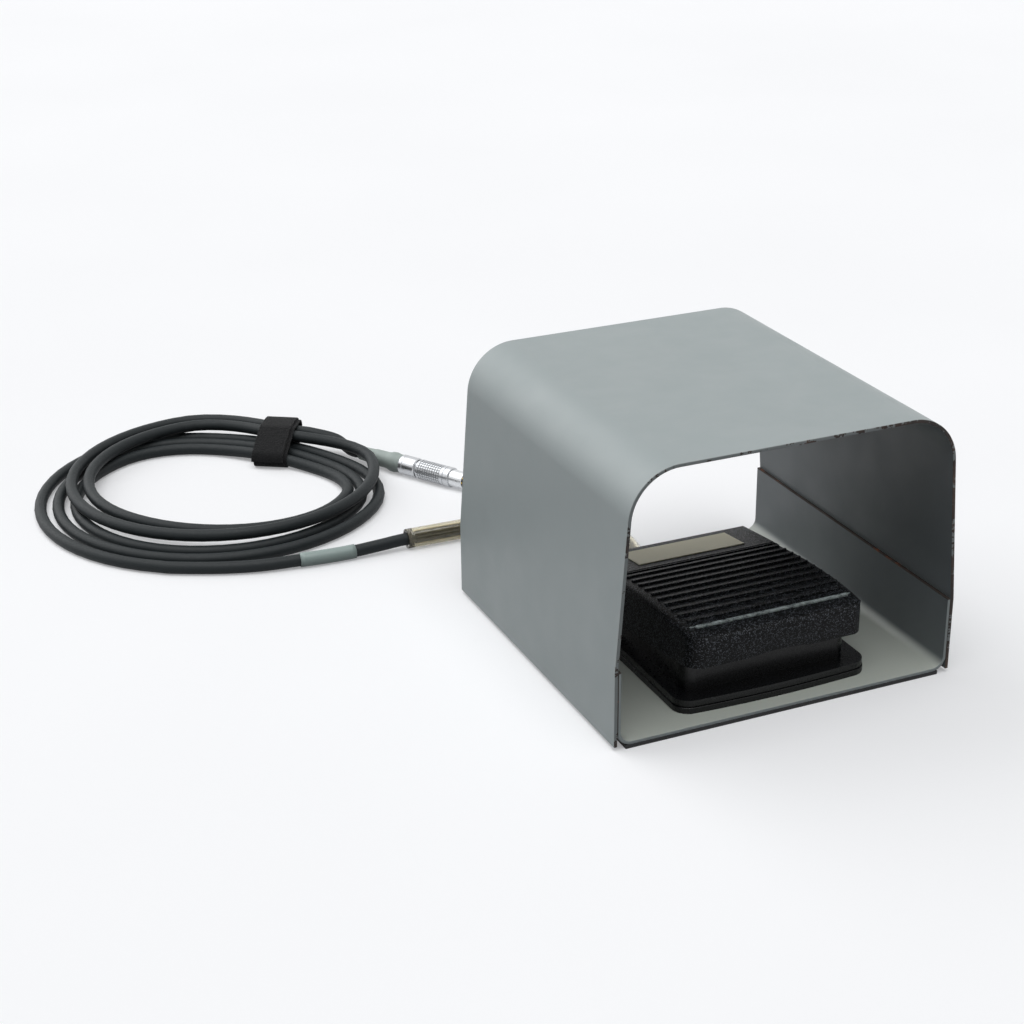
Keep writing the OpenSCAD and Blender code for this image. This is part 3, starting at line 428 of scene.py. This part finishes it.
def guard_wear(tree, place, axes):
    """Marks 3 to 8 mm long on the guard's cut edges, most of them on the right half."""
    side = add(tree, "MapRange",
               {"From Min": -40 * MM, "From Max": 80 * MM, "To Min": -0.05, "To Max": 0.12},
               [(axes["X"], "Value")], clamp=True).outputs[0]
    long = add(tree, "TexNoise", {"Scale": 150, "Detail": 3, "Roughness": 0.6}, [(place, "Vector")])
    rag = add(tree, "TexNoise", {"Scale": 900, "Detail": 3}, [(place, "Vector")])
    ragged = add(tree, "Math", {1: 0.35}, [(rag.outputs["Fac"], 0)], operation="MULTIPLY")
    both = add(tree, "Math", links=[(long.outputs["Fac"], 0), (ragged.outputs[0], 1)],
               operation="ADD")
    right = add(tree, "Math", links=[(both.outputs[0], 0), (side, 1)], operation="ADD")
    mark = add(tree, "MapRange", {"From Min": 0.7, "From Max": 0.73}, [(right.outputs[0], "Value")],
               clamp=True)
    # Between the marks the whole cut edge is darker, about a third of the way to the bare steel
    edge_darkening = add(tree, "Math", {1: 0.32}, [(mark.outputs[0], 0)], operation="MAXIMUM").outputs[0]
    return add(tree, "Math", links=[(edge_darkening, 0), (cut_edges(tree, axes, 0.35, 0.1), 1)],
               operation="MULTIPLY").outputs[0]


def tray_rust_and_seam_shade(tree, place, axes):
    """Rust along the top edges of the tray's walls, and painted shade in the seam between tray and
    guard.
    """
    top = add(tree, "MapRange", {"From Min": (KINK_H - 0.8) * MM, "From Max": (KINK_H - 0.3) * MM},
              [(axes["Z"], "Value")], clamp=True)
    side = add(tree, "Math", links=[(axes["X"], 0)], operation="ABSOLUTE")
    outer = add(tree, "MapRange",
                {"From Min": (TRAY_HALF_W - 0.5) * MM, "From Max": (TRAY_HALF_W - 0.3) * MM},
                [(side.outputs[0], "Value")], clamp=True)
    # Painted shade: the tray's cut edge darkens where it meets the guard, for the shade in the seam
    seam = add(tree, "Math", links=[(outer.outputs[0], 0), (cut_edges(tree, axes, 0.5, 0.3), 1)],
               operation="MULTIPLY")
    return add(tree, "Math", links=[(seam.outputs[0], 0), (top.outputs[0], 1)],
               operation="MAXIMUM").outputs[0]


def grained_black(name):
    """Black textured paint on a zinc casting: grains of 0.4 mm, finer ones between, and painted
    glints: a share of the grains is coloured pale grey for the light they catch.
    """
    material, tree, shader, place = finish(name, Metallic=0.0, IOR=1.5, Specular_IOR_Level=0.12)
    cells = add(tree, "TexVoronoi", {"Scale": 2300}, [(place, "Vector")])
    pick = add(tree, "SeparateColor", links=[(cells.outputs["Color"], 0)]).outputs[0]
    # Painted glints: some grain cells get a pale grey in their colour, standing for the light they
    # catch
    painted_glint = add(tree, "MapRange", {"From Min": 0.7, "From Max": 1.0, "To Max": 0.75},
                [(pick, "Value")], clamp=True)
    tone = clouded(tree, place, "#08090A", 40, 0.3)
    speck = add(tree, "Mix", {7: linear("#70757C")}, [(painted_glint.outputs[0], "Factor"), (tone, 6)],
                data_type="RGBA").outputs[2]
    tree.links.new(speck, shader.inputs["Base Color"])
    grain = add(tree, "TexNoise", {"Scale": 1700, "Detail": 3, "Roughness": 0.65},
                [(place, "Vector")])
    rough = add(tree, "MapRange",
                {"From Min": 0.35, "From Max": 0.65, "To Min": 0.28, "To Max": 0.55},
                [(grain.outputs["Fac"], "Value")])
    tree.links.new(rough.outputs[0], shader.inputs["Roughness"])
    both = add(tree, "Math", links=[(grain.outputs["Fac"], 0), (cells.outputs["Distance"], 1)],
               operation="SUBTRACT")
    bump = add(tree, "Bump", {"Strength": 0.45, "Distance": 0.00022}, [(both.outputs[0], "Height")])
    tree.links.new(bump.outputs["Normal"], shader.inputs["Normal"])
    return material, tree, shader, place, speck


def plain_finish(name, colour, rough, scale, depth, metallic=0.0, spread=0.12, **sockets):
    """A moulded, plated or extruded finish: its tone, gloss and surface vary over grains of
    1 / scale metres that are depth metres high."""
    material, tree, shader, place = finish(name, Metallic=metallic, **sockets)
    grain = add(tree, "TexNoise", {"Scale": scale, "Detail": 4, "Roughness": 0.6},
                [(place, "Vector")])
    tree.links.new(clouded(tree, place, colour, scale / 12, spread), shader.inputs["Base Color"])
    gloss = add(tree, "MapRange",
                {"From Min": 0.3, "From Max": 0.7, "To Min": rough - 0.07, "To Max": rough + 0.07},
                [(grain.outputs["Fac"], "Value")])
    tree.links.new(gloss.outputs[0], shader.inputs["Roughness"])
    bump = add(tree, "Bump", {"Strength": 0.25, "Distance": depth},
               [(grain.outputs["Fac"], "Height")])
    tree.links.new(bump.outputs["Normal"], shader.inputs["Normal"])
    return material


def seen_share(tree):
    """1 for what is seen, straight, mirrored or through the vinyl, and 0 for light that bounces."""
    path = add(tree, "LightPath").outputs
    seen = add(tree, "Math", links=[(path["Is Camera Ray"], 0), (path["Is Glossy Ray"], 1)],
               operation="MAXIMUM")
    shown = add(tree, "Math", links=[(seen.outputs[0], 0), (path["Is Transmission Ray"], 1)],
                operation="MAXIMUM")
    return shown.outputs[0]


class CableSizes(bpy.types.PropertyGroup):
    """Sizes and colours of the cable and what is on it."""

    cable_d: bpy.props.FloatProperty(
        name="Cable diameter", description="Outside diameter of the jacket",
        default=0.0069, unit="LENGTH",
    )
    sleeve_d: bpy.props.FloatProperty(
        name="Sleeve diameter", description="Outside diameter of the clear sleeve",
        default=0.011, unit="LENGTH",
    )
    sleeve_wall: bpy.props.FloatProperty(
        name="Sleeve wall", description="Wall of the clear sleeve",
        default=0.00155, unit="LENGTH",
    )
    marker_d: bpy.props.FloatProperty(
        name="Wrap diameter", description="Outside diameter of the blank wrap",
        default=0.008, unit="LENGTH",
    )
    jacket: bpy.props.StringProperty(
        name="Jacket colour", description="sRGB hex colour of the cable",
        default="#1E2325",
    )
    wrap: bpy.props.StringProperty(
        name="Wrap colour", description="sRGB hex colour of the blank wrap",
        default="#8C9B98",
    )


class GuardSizes(bpy.types.PropertyGroup):
    """Sizes and colours of the guard and the tray."""

    sheet: bpy.props.FloatProperty(
        name="Sheet thickness", description="Thickness of the bent sheet steel",
        default=0.0017, unit="LENGTH",
    )
    edge: bpy.props.FloatProperty(
        name="Edge rounding", description="Rounding of the painted edges",
        default=0.0003, unit="LENGTH",
    )
    paint: bpy.props.StringProperty(
        name="Paint colour", description="sRGB hex colour of the satin paint",
        default="#929B9C",
    )


class PedalSizes(bpy.types.PropertyGroup):
    """Sizes and colours of the treadle and the base."""

    edge: bpy.props.FloatProperty(
        name="Edge rounding", description="Rounding of the castings' edges",
        default=0.0004, unit="LENGTH",
    )
    plate: bpy.props.StringProperty(
        name="Plate colour", description="sRGB hex colour of the blank plate",
        default="#E6E1C6",
    )


class SetCamera(bpy.types.Operator):
    """Puts the camera where the photograph was taken from"""

    bl_idname = "foot_switch.camera"
    bl_label = "Camera"

    def execute(self, context):
        data = bpy.data.cameras.new("camera")
        data.sensor_width = 36
        data.lens = CAMERA_LENS
        data.clip_start, data.clip_end = 0.05, 50
        made = bpy.data.objects.new("camera", data)
        context.scene.collection.objects.link(made)
        azimuth, tilt, roll = (math.radians(d) for d in CAMERA_DEG)
        level = math.cos(tilt)
        back = Vector((math.sin(azimuth) * level, -math.cos(azimuth) * level, math.sin(tilt)))
        right = Vector((math.cos(azimuth), math.sin(azimuth), 0))
        up = back.cross(right)
        rolled = math.cos(roll) * right + math.sin(roll) * up
        up = math.cos(roll) * up - math.sin(roll) * right
        turn = Matrix((rolled, up, back)).transposed().to_4x4()
        made.matrix_world = Matrix.Translation(CAMERA_AT * MM) @ turn
        context.scene.camera = made
        return {"FINISHED"}


class MakeCable(bpy.types.Operator):
    """Lays the cable from the base through its coil to the plug, with its sleeve and blank wrap"""

    bl_idname = "foot_switch.cable"
    bl_label = "Cable"

    def execute(self, context):
        sizes = context.scene.foot_switch_cable
        # Polyurethane jacket, extruded: matt, with a faint drag along its skin
        jacket = plain_finish("polyurethane_jacket", sizes.jacket, rough=0.55, scale=900,
                              depth=0.00012, Specular_IOR_Level=0.25)
        curve = bpy.data.curves.new("cable", "CURVE")
        curve.dimensions = "3D"
        route = cable_route()
        line = curve.splines.new("POLY")
        line.points.add(len(route) - 1)
        for at, p in zip(line.points, route):
            at.co = (*(p * MM), 1)
        line.use_smooth = True
        curve.bevel_depth = sizes.cable_d / 2
        curve.bevel_resolution = 5
        curve.use_fill_caps = True
        curve.materials.append(jacket)
        cable = bpy.data.objects.new("cable", curve)
        context.scene.collection.objects.link(cable)
        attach(cable, "switch_frame")
        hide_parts("cable_lead", "cable_coil", "cable_tail")

        # Soft clear vinyl, yellowed with age: it shows the cable through its wall
        vinyl, tree, shader, place = finish(
            "clear_vinyl", Metallic=0.0, IOR=1.45, Transmission_Weight=0.94, Roughness=0.06
        )
        haze = add(tree, "TexNoise", {"Scale": 60, "Detail": 2}, [(place, "Vector")])
        tint = add(tree, "ValToRGB", links=[(haze.outputs["Fac"], "Fac")],
                   stops=[(0.3, "#D0C8AC"), (0.7, "#DAD3BA")])
        tree.links.new(tint.outputs["Color"], shader.inputs["Base Color"])
        soft = add(tree, "Bump", {"Strength": 0.06, "Distance": 0.0002},
                   [(haze.outputs["Fac"], "Height")])
        tree.links.new(soft.outputs["Normal"], shader.inputs["Normal"])
        route = lead_route()
        points = [Vector(SLEEVE_START), *route[: SLEEVE_LAST * LEAD_STEPS + 1]]
        bm = tube_along(points, sizes.sleeve_d / 2 / MM)
        sleeve = object_from("sleeve", bm, vinyl)
        walled(sleeve, sizes.sleeve_wall)
        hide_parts("clear_sleeve")

        # Shrunk polyolefin wrap, left blank: smooth, with a soft gloss along its top
        wrap = plain_finish("shrink_wrap", sizes.wrap, rough=0.45, scale=500, depth=0.0001,
                            spread=0.06)
        points = route[MARKER_FIRST * LEAD_STEPS : MARKER_LAST * LEAD_STEPS + 1]
        bm = tube_along(points, sizes.marker_d / 2 / MM)
        marker = object_from("marker", bm, wrap)
        walled(marker, MARKER_WALL * MM)
        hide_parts("cable_marker")
        return {"FINISHED"}


class MakeStrap(bpy.types.Operator):
    """Makes the hook-and-loop strap that holds the coil"""

    bl_idname = "foot_switch.strap"
    bl_label = "Strap"

    def execute(self, context):
        # Nylon hook-and-loop tape, woven: its loops scatter light, so it is matt and fuzzy
        tape, tree, shader, place = finish(
            "hook_and_loop_tape", Metallic=0.0, Roughness=0.95, Sheen_Weight=0.12,
            Sheen_Roughness=0.5, Specular_IOR_Level=0.2
        )
        loops = add(tree, "TexVoronoi", {"Scale": 1300}, [(place, "Vector")])
        fuzz = add(tree, "TexNoise", {"Scale": 2600, "Detail": 3}, [(place, "Vector")])
        tone = add(tree, "ValToRGB", links=[(fuzz.outputs["Fac"], "Fac")],
                   stops=[(0.35, "#070708"), (0.7, "#1C1D1F")])
        tree.links.new(tone.outputs["Color"], shader.inputs["Base Color"])
        bump = add(tree, "Bump", {"Strength": 0.8, "Distance": 0.0006},
                   [(loops.outputs["Distance"], "Height")])
        tree.links.new(bump.outputs["Normal"], shader.inputs["Normal"])
        # Each layer is the tight loop round the strands that pass near the strap's middle
        turn = Matrix.Rotation(math.radians(STRAP_TURN), 4, "Z")
        back = (Matrix.Translation(STRAP_AT) @ turn).inverted()
        held = [q for q in (back @ p for p in cable_route()) if abs(q.x) < 30 and abs(q.y) < 14]
        bm = bmesh.new()
        for gap, half, shift, lowest in STRAP_LAYERS:
            layer = bmesh.new()
            for q in held:
                for k in range(20):
                    a = math.radians(18 * k)
                    x = q.x + (CABLE_R + gap) * math.cos(a)
                    z = max(STRAP_FLOOR, q.z + (CABLE_R + gap) * math.sin(a))
                    for y in (shift - half, shift + half):
                        layer.verts.new(Vector((x, y, z)) * MM)
            hull = bmesh.ops.convex_hull(layer, input=layer.verts)
            unused = [g for g in set(hull["geom_interior"]) | set(hull["geom_unused"])
                      if isinstance(g, bmesh.types.BMVert)]
            bmesh.ops.delete(layer, geom=unused, context="VERTS")
            ends = [f for f in layer.faces
                    if abs(f.normal.y) > 0.9 or f.calc_center_median().z < lowest * MM]
            bmesh.ops.delete(layer, geom=ends, context="FACES")
            bmesh.ops.dissolve_limit(
                layer, angle_limit=math.radians(2), verts=layer.verts, edges=layer.edges
            )
            outwards(layer, (0, 0, 0.008))
            sheet = bpy.data.meshes.new("layer")
            layer.to_mesh(sheet)
            layer.free()
            bm.from_mesh(sheet)
            bpy.data.meshes.remove(sheet)
        stand = Matrix.Translation(STRAP_AT * MM) @ turn
        bmesh.ops.transform(bm, matrix=stand, verts=bm.verts)
        strap = object_from("strap", bm, tape, angle=60)
        walled(strap, STRAP_T * MM)
        soften(strap, 0.25 * MM)
        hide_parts("coil_strap")
        return {"FINISHED"}


class MakePlug(bpy.types.Operator):
    """Makes the push-pull plug: its boot, nut, knurled sleeve and nose"""

    bl_idname = "foot_switch.plug"
    bl_label = "Plug"

    def execute(self, context):
        # Brass, turned, with satin chrome plating: bright, with fine tool marks
        chrome = plain_finish("satin_chrome", "#C2C4C7", rough=0.32, scale=1500, depth=0.00002,
                              metallic=1.0, spread=0.05)
        # Polyolefin tube, shrunk over the cable's end: pale and matt, with small pits
        boot_skin = plain_finish("shrink_boot", "#97A29E", rough=0.52, scale=500, depth=0.00025,
                                 spread=0.08)
        boot = object_from(
            "boot",
            on_plug(turned_part([
                (-BOOT_L, 3.0), (-BOOT_L, 3.9), (-BOOT_L + 0.4, 4.1), (-24, 4.5), (-21.6, 4.6),
                (-20.8, 4.9), (-12, 5.0), (-9.5, 5.3), (-8, 5.9), (-5.5, 6.1), (-3.5, 5.7),
                (-2.4, 5.5), (-0.4, 5.7), (0, 5.5), (0, 3.0),
            ])),
            boot_skin,
        )
        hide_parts("plug_boot")
        nut = object_from(
            "nut",
            on_plug(turned_part([
                (0, 3), (0, 5.45), (0.6, 6.05), (2.8, 6.05), (3.0, 5.85), (3.2, 6.05),
                (11.4, 6.05), (NUT_L, 5.45), (NUT_L, 3),
            ])),
            chrome,
        )
        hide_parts("plug_nut")
        # Knurl: rows of small raised pads round the grip
        rows = [(0.8 + 1.7 * i, 5.75) for i in range(11)]
        bm = turned_part([
            (0, 5.5), (0.3, 5.8), *rows, (19.0, 5.75), (19.2, 6.05), (20.1, 6.05), (20.3, 5.65),
            (20.9, 5.65), (21.1, 6.05), (24.1, 6.05), (GRIP_L, 5.65), (GRIP_L, 5.3),
        ], steps=24)
        pads = [f for f in bm.faces
                if rows[0][0] * MM < f.calc_center_median().x < rows[-1][0] * MM
                and f.calc_center_median().yz.length > 5.55 * MM]
        rims = bmesh.ops.inset_individual(bm, faces=pads, thickness=0.33 * MM, depth=0.0)["faces"]
        for f in rims:
            f.material_index = 1
        bmesh.ops.inset_individual(bm, faces=pads, thickness=0.08 * MM, depth=0.3 * MM)
        sleeve = object_from("grip", on_plug(bm, GRIP_AT), chrome, body="release_sleeve", angle=25)
        # Painted shade in the knurl's gaps: the plating there is darker and duller, standing for
        # the shade between the pads, so that they stand out
        sleeve.data.materials.append(
            plain_finish("chrome_gaps_painted_shade", "#86888A", rough=0.5, scale=1500, depth=0.00006,
                         metallic=1.0)
        )
        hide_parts("plug_sleeve")
        # Shell turned and plated: the brightest ring of the plug
        steel = plain_finish("turned_shell", "#D6D8DA", rough=0.3, scale=1500, depth=0.00006,
                             metallic=1.0, spread=0.05)
        # Insert of moulded nylon: dull and nearly black
        nylon = plain_finish("moulded_insert", "#1A1A1B", rough=0.45, scale=900, depth=0.0001)
        # Contacts with a flash of gold: warm and bright in the dark nose
        gold = plain_finish("gold_flash", "#D9B25A", rough=0.25, scale=2000, depth=0.00003,
                            metallic=1.0, spread=0.04)
        for name, skin in (("plug_shell", steel), ("plug_insert", nylon), ("plug_pins", gold)):
            NODES[name].data.materials[0] = skin
        return {"FINISHED"}


class MakeGuard(bpy.types.Operator):
    """Bends the guard and the tray from painted sheet and lays the rubber mat"""

    bl_idname = "foot_switch.guard"
    bl_label = "Guard and tray"

    def execute(self, context):
        sizes = context.scene.foot_switch_guard
        chipped = [(0.35, "#211B19"), (0.55, "#3A2E29"), (0.72, "#6B5A50")]
        paint = satin_paint("satin_enamel", sizes.paint, chipped, guard_wear)
        # The leaning wall ends where the bend, whose centre is at bend_x and bend_h, takes it up
        bend_h = TOP_H - BEND_R
        bend_x = HALF_W - (BEND_R + math.sin(LEAN) * (bend_h - KINK_H)) / math.cos(LEAN)
        wall_end = (-bend_x - BEND_R * math.cos(LEAN), bend_h + BEND_R * math.sin(LEAN))
        sweep = 90 - math.degrees(LEAN)
        bm = bent_sheet((-HALF_W, FOOT_H), [
            (-HALF_W, KINK_H), wall_end, (-bend_x, bend_h, sweep), (bend_x, TOP_H),
            (bend_x, bend_h, sweep), (HALF_W, KINK_H), (HALF_W, FOOT_H),
        ])
        outwards(bm, (0, 0, 0.05))
        guard = object_from("guard", bm, paint, angle=60)
        # Inside, the coat is drawn darker than outside: painted shade for the deep shade under the
        # guard, not the paint's own colour
        inside = satin_paint("satin_enamel_inside_painted_shade", "#656B6E", chipped, guard_wear)
        walled(guard, sizes.sheet, inside)
        soften(guard, sizes.edge)
        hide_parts("guard_cover")

        # The tray has the guard's paint, with rust in orange spots where it is worn, and painted
        # shade along its seam with the guard
        rusted = [(0.3, "#1D1815"), (0.56, "#2E2119"), (0.66, "#8C4A22"), (0.8, "#5A3420")]
        tray_paint = satin_paint("satin_enamel_tray", sizes.paint, rusted, tray_rust_and_seam_shade)
        bend_h = FOOT_H + TRAY_R
        bm = bent_sheet((-TRAY_HALF_W, KINK_H), [
            (-TRAY_HALF_W, bend_h), (-TRAY_X, bend_h, -90), (TRAY_X, FOOT_H),
            (TRAY_X, bend_h, -90), (TRAY_HALF_W, KINK_H),
        ])
        outwards(bm, (0, 0, 0.03))
        tray = object_from("tray", bm, tray_paint, angle=60)
        # Its inner side is drawn darker on the walls, as painted shade, and pale with dust on the
        # floor
        dusty = satin_paint("satin_enamel_dusty_painted_shade", "#656B6E", rusted, tray_rust_and_seam_shade, dust="#C6CCC3")
        walled(tray, sizes.sheet, dusty)
        soften(tray, sizes.edge)
        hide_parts("base_tray")
        # Black rubber sheet, cut: matt and slightly dusty
        mat_rubber = plain_finish("rubber_sheet", "#202022", rough=0.75, scale=600, depth=0.0002)
        cad_copy("floor_mat", "mat", mat_rubber, 0.3 * MM)
        return {"FINISHED"}


class MakePedal(bpy.types.Operator):
    """Finishes the base castings, the seal, the treadle and its blank plate"""

    bl_idname = "foot_switch.pedal"
    bl_label = "Pedal"

    def execute(self, context):
        sizes = context.scene.foot_switch_pedal
        # Black enamel on smooth castings: darker and glossier than the treadle, so its edges catch
        # the light
        black = plain_finish("black_enamel_casting", "#0A0B0D", rough=0.3, scale=800,
                             depth=0.00008, spread=0.2, Specular_IOR_Level=0.35)
        cad_copy("switch_base", "base", black, sizes.edge)
        cad_copy("bottom_plate", "bottom", black, sizes.edge)
        # Cut rubber between the castings: a dull dark line
        rubber = plain_finish("seal_rubber", "#111112", rough=0.7, scale=800, depth=0.0001)
        NODES["base_seal"].data.materials[0] = rubber

        # The treadle's paint is worn through to bright zinc on the top of its first rib, and rubbed
        # on the rest
        worn, tree, shader, place, tone = grained_black("black_paint_worn_ribs")
        axes = add(tree, "SeparateXYZ", links=[(place, "Vector")]).outputs
        high = add(tree, "MapRange",
                   {"From Min": (RIB_TOP_H - 0.04) * MM, "From Max": RIB_TOP_H * MM},
                   [(axes["Z"], "Value")], clamp=True)
        first = add(tree, "MapRange",
                    {"From Min": (RIB_BACK_Y + 0.5) * MM, "From Max": RIB_BACK_Y * MM},
                    [(axes["Y"], "Value")], clamp=True)
        rest = add(tree, "TexNoise", {"Scale": 260, "Detail": 6, "Roughness": 0.8},
                   [(place, "Vector")])
        rubbed = add(tree, "MapRange", {"From Min": 0.56, "From Max": 0.8, "To Max": 0.12},
                     [(rest.outputs["Fac"], "Value")], clamp=True)
        patch = add(tree, "MapRange", {"From Min": 0.38, "From Max": 0.6, "To Min": 0.12},
                    [(rest.outputs["Fac"], "Value")], clamp=True)
        bright = add(tree, "Math", links=[(first.outputs[0], 0), (patch.outputs[0], 1)],
                     operation="MULTIPLY")
        share = add(tree, "Math", links=[(bright.outputs[0], 0), (rubbed.outputs[0], 1)],
                    operation="MAXIMUM")
        bare = add(tree, "Math", links=[(share.outputs[0], 0), (high.outputs[0], 1)],
                   operation="MULTIPLY")
        mix = add(tree, "Mix", {7: linear("#B6C2C2")}, [(bare.outputs[0], "Factor"), (tone, 6)],
                  data_type="RGBA")
        tree.links.new(mix.outputs[2], shader.inputs["Base Color"])
        cad_copy("treadle", "pedal", worn, sizes.edge, body="treadle")
        # Anodised sheet, left blank: cream, even and satin
        plate = plain_finish("anodised_plate", sizes.plate, rough=0.5, scale=900, depth=0.00004,
                             spread=0.04)
        cad_copy("blank_plate", "plate", plate, 0.1 * MM, body="treadle")
        return {"FINISHED"}


class FinishInside(bpy.types.Operator):
    """Gives the parts inside and below their plated, moulded and rubber finishes"""

    bl_idname = "foot_switch.inside"
    bl_label = "Inside parts"

    def execute(self, context):
        # Screws and bracket with zinc plating: pale metal with a cloudy shine
        zinc = plain_finish("bright_zinc", "#B4B8BC", rough=0.35, scale=1200, depth=0.00006,
                            metallic=1.0)
        # Drawn spring steel: greyer and sharper in its highlights
        spring = plain_finish("spring_steel", "#8E9296", rough=0.3, scale=1500, depth=0.00004,
                              metallic=1.0)
        # Moulded rubber: matt, hardly lighter than the shadows
        rubber = plain_finish("moulded_rubber", "#1B1B1C", rough=0.7, scale=700, depth=0.00015)
        # Moulded nylon: black with a low gloss
        black = plain_finish("moulded_nylon", "#202123", rough=0.5, scale=900, depth=0.0001)
        # Moulded acetal: a smooth red that stands out
        red = plain_finish("moulded_acetal", "#A8231A", rough=0.35, scale=900, depth=0.00006)
        # Stamped brass, tinned: pale yellow and bright
        brass = plain_finish("tinned_brass", "#C9B06A", rough=0.3, scale=1500, depth=0.00005,
                             metallic=1.0)
        # The cable's jacket where it is clean of dirt: a little lighter than outside
        jacket = plain_finish("inner_jacket", "#3E464A", rough=0.5, scale=900, depth=0.00012)
        # Extruded vinyl on the wires: glossy red
        wire = plain_finish("wire_insulation", "#B32A22", rough=0.4, scale=1200, depth=0.00005)
        for names, skin in (
            (("mounting_screws", "microswitch_screws", "switch_bracket", "bracket_screws",
              "clamp_screws", "hinge_pins"), zinc),
            (("microswitch_lever",), spring),
            (("stop_pads", "cable_grommet"), rubber),
            (("microswitch_body", "cable_clamp"), black),
            (("microswitch_plunger",), red),
            (("microswitch_terminals",), brass),
            (("cable_inner",), jacket),
            (("switch_wires",), wire),
        ):
            for name in names:
                NODES[name].data.materials[0] = skin
        # The springs, their doubled points merged so that they shade smoothly: their coils close on
        # their feet, 9.5 mm up, and the treadle goes down on them
        bm = bmesh.new()
        bm.from_mesh(NODES["return_springs"].data)
        bmesh.ops.remove_doubles(bm, verts=bm.verts, dist=1e-6)
        springs = object_from("springs", bm, spring, angle=60)
        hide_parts("return_springs")
        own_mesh(springs)
        return {"FINISHED"}


class SetStage(bpy.types.Operator):
    """Makes the pale floor, the soft lamps and the white surroundings"""

    bl_idname = "foot_switch.stage"
    bl_label = "Stage"

    def execute(self, context):
        # Pale paper, matt, with a hardly visible drift in its tone
        paper, tree, shader, place = finish("pale_floor", Roughness=0.9, Metallic=0.0)
        shade = add(tree, "TexNoise", {"Scale": 3, "Detail": 2}, [(place, "Vector")])
        tone = add(tree, "ValToRGB", links=[(shade.outputs["Fac"], "Fac")],
                   stops=[(0.3, "#CFD0D2"), (0.7, "#D2D3D5")])
        # The floor is near white for the eye and in reflections, and throws less light up at the
        # object
        shown = seen_share(tree)
        floor_tone = add(tree, "Mix", {6: linear("#7C7C7E")},
                         [(shown, "Factor"), (tone.outputs["Color"], 7)], data_type="RGBA")
        tree.links.new(floor_tone.outputs[2], shader.inputs["Base Color"])
        # A third of the floor's white is its own, so that the photograph's faint shadows stay faint
        shader.inputs["Emission Color"].default_value = (0.98, 0.985, 1, 1)
        own = add(tree, "Math", {1: FLOOR_GLOW}, [(shown, 0)], operation="MULTIPLY")
        tree.links.new(own.outputs[0], shader.inputs["Emission Strength"])
        bm = bmesh.new()
        bmesh.ops.create_grid(bm, x_segments=2, y_segments=2, size=8)
        mesh = bpy.data.meshes.new("floor")
        bm.to_mesh(mesh)
        bm.free()
        mesh.materials.append(paper)
        floor = bpy.data.objects.new("floor", mesh)
        context.scene.collection.objects.link(floor)

        world = bpy.data.worlds.new("surround")
        context.scene.world = world
        world.use_nodes = True
        tree = world.node_tree
        sky = tree.nodes["Background"]
        sky.inputs["Color"].default_value = (1, 1, 1, 1)
        level = add(tree, "MapRange", {"To Min": SKY_GLOW, "To Max": 1.0},
                    [(seen_share(tree), "Value")])
        tree.links.new(level.outputs[0], sky.inputs["Strength"])
        # Soft suns light the whole floor evenly: a key from behind on the left, and one from above
        for name, place_at, spread, power in SUNS:
            data = bpy.data.lights.new(name, "SUN")
            data.energy, data.angle = power, math.radians(spread)
            lamp = bpy.data.objects.new(name, data)
            lamp.location = place_at
            lamp.rotation_euler = (-Vector(place_at)).to_track_quat("-Z", "Y").to_euler()
            context.scene.collection.objects.link(lamp)
        context.scene.view_settings.view_transform = "Standard"
        return {"FINISHED"}


class FootSwitchPanel(bpy.types.Panel):
    """Lists the foot switch's pieces in the sidebar"""

    bl_idname = "VIEW3D_PT_foot_switch"
    bl_label = "Foot switch"
    bl_space_type = "VIEW_3D"
    bl_region_type = "UI"
    bl_category = "Foot switch"

    def draw(self, context):
        for made in OPERATORS:
            self.layout.operator(made.bl_idname)
        for group in (context.scene.foot_switch_cable, context.scene.foot_switch_guard,
                      context.scene.foot_switch_pedal):
            for name in group.bl_rna.properties.keys():
                if name not in ("rna_type", "name"):
                    self.layout.prop(group, name)


OPERATORS = (
    SetCamera, MakeCable, MakeStrap, MakePlug, MakeGuard, MakePedal, FinishInside, SetStage,
)
GROUPS = (CableSizes, GuardSizes, PedalSizes)


def register():
    for made in (*GROUPS, *OPERATORS, FootSwitchPanel):
        bpy.utils.register_class(made)
    bpy.types.Scene.foot_switch_cable = bpy.props.PointerProperty(type=CableSizes)
    bpy.types.Scene.foot_switch_guard = bpy.props.PointerProperty(type=GuardSizes)
    bpy.types.Scene.foot_switch_pedal = bpy.props.PointerProperty(type=PedalSizes)


def unregister():
    for name in ("foot_switch_cable", "foot_switch_guard", "foot_switch_pedal"):
        delattr(bpy.types.Scene, name)
    for made in (FootSwitchPanel, *reversed(OPERATORS), *reversed(GROUPS)):
        bpy.utils.unregister_class(made)


def main():
    register()
    for made in OPERATORS:
        group, name = made.bl_idname.split(".")
        getattr(getattr(bpy.ops, group), name)()


if __name__ == "__main__":
    main()
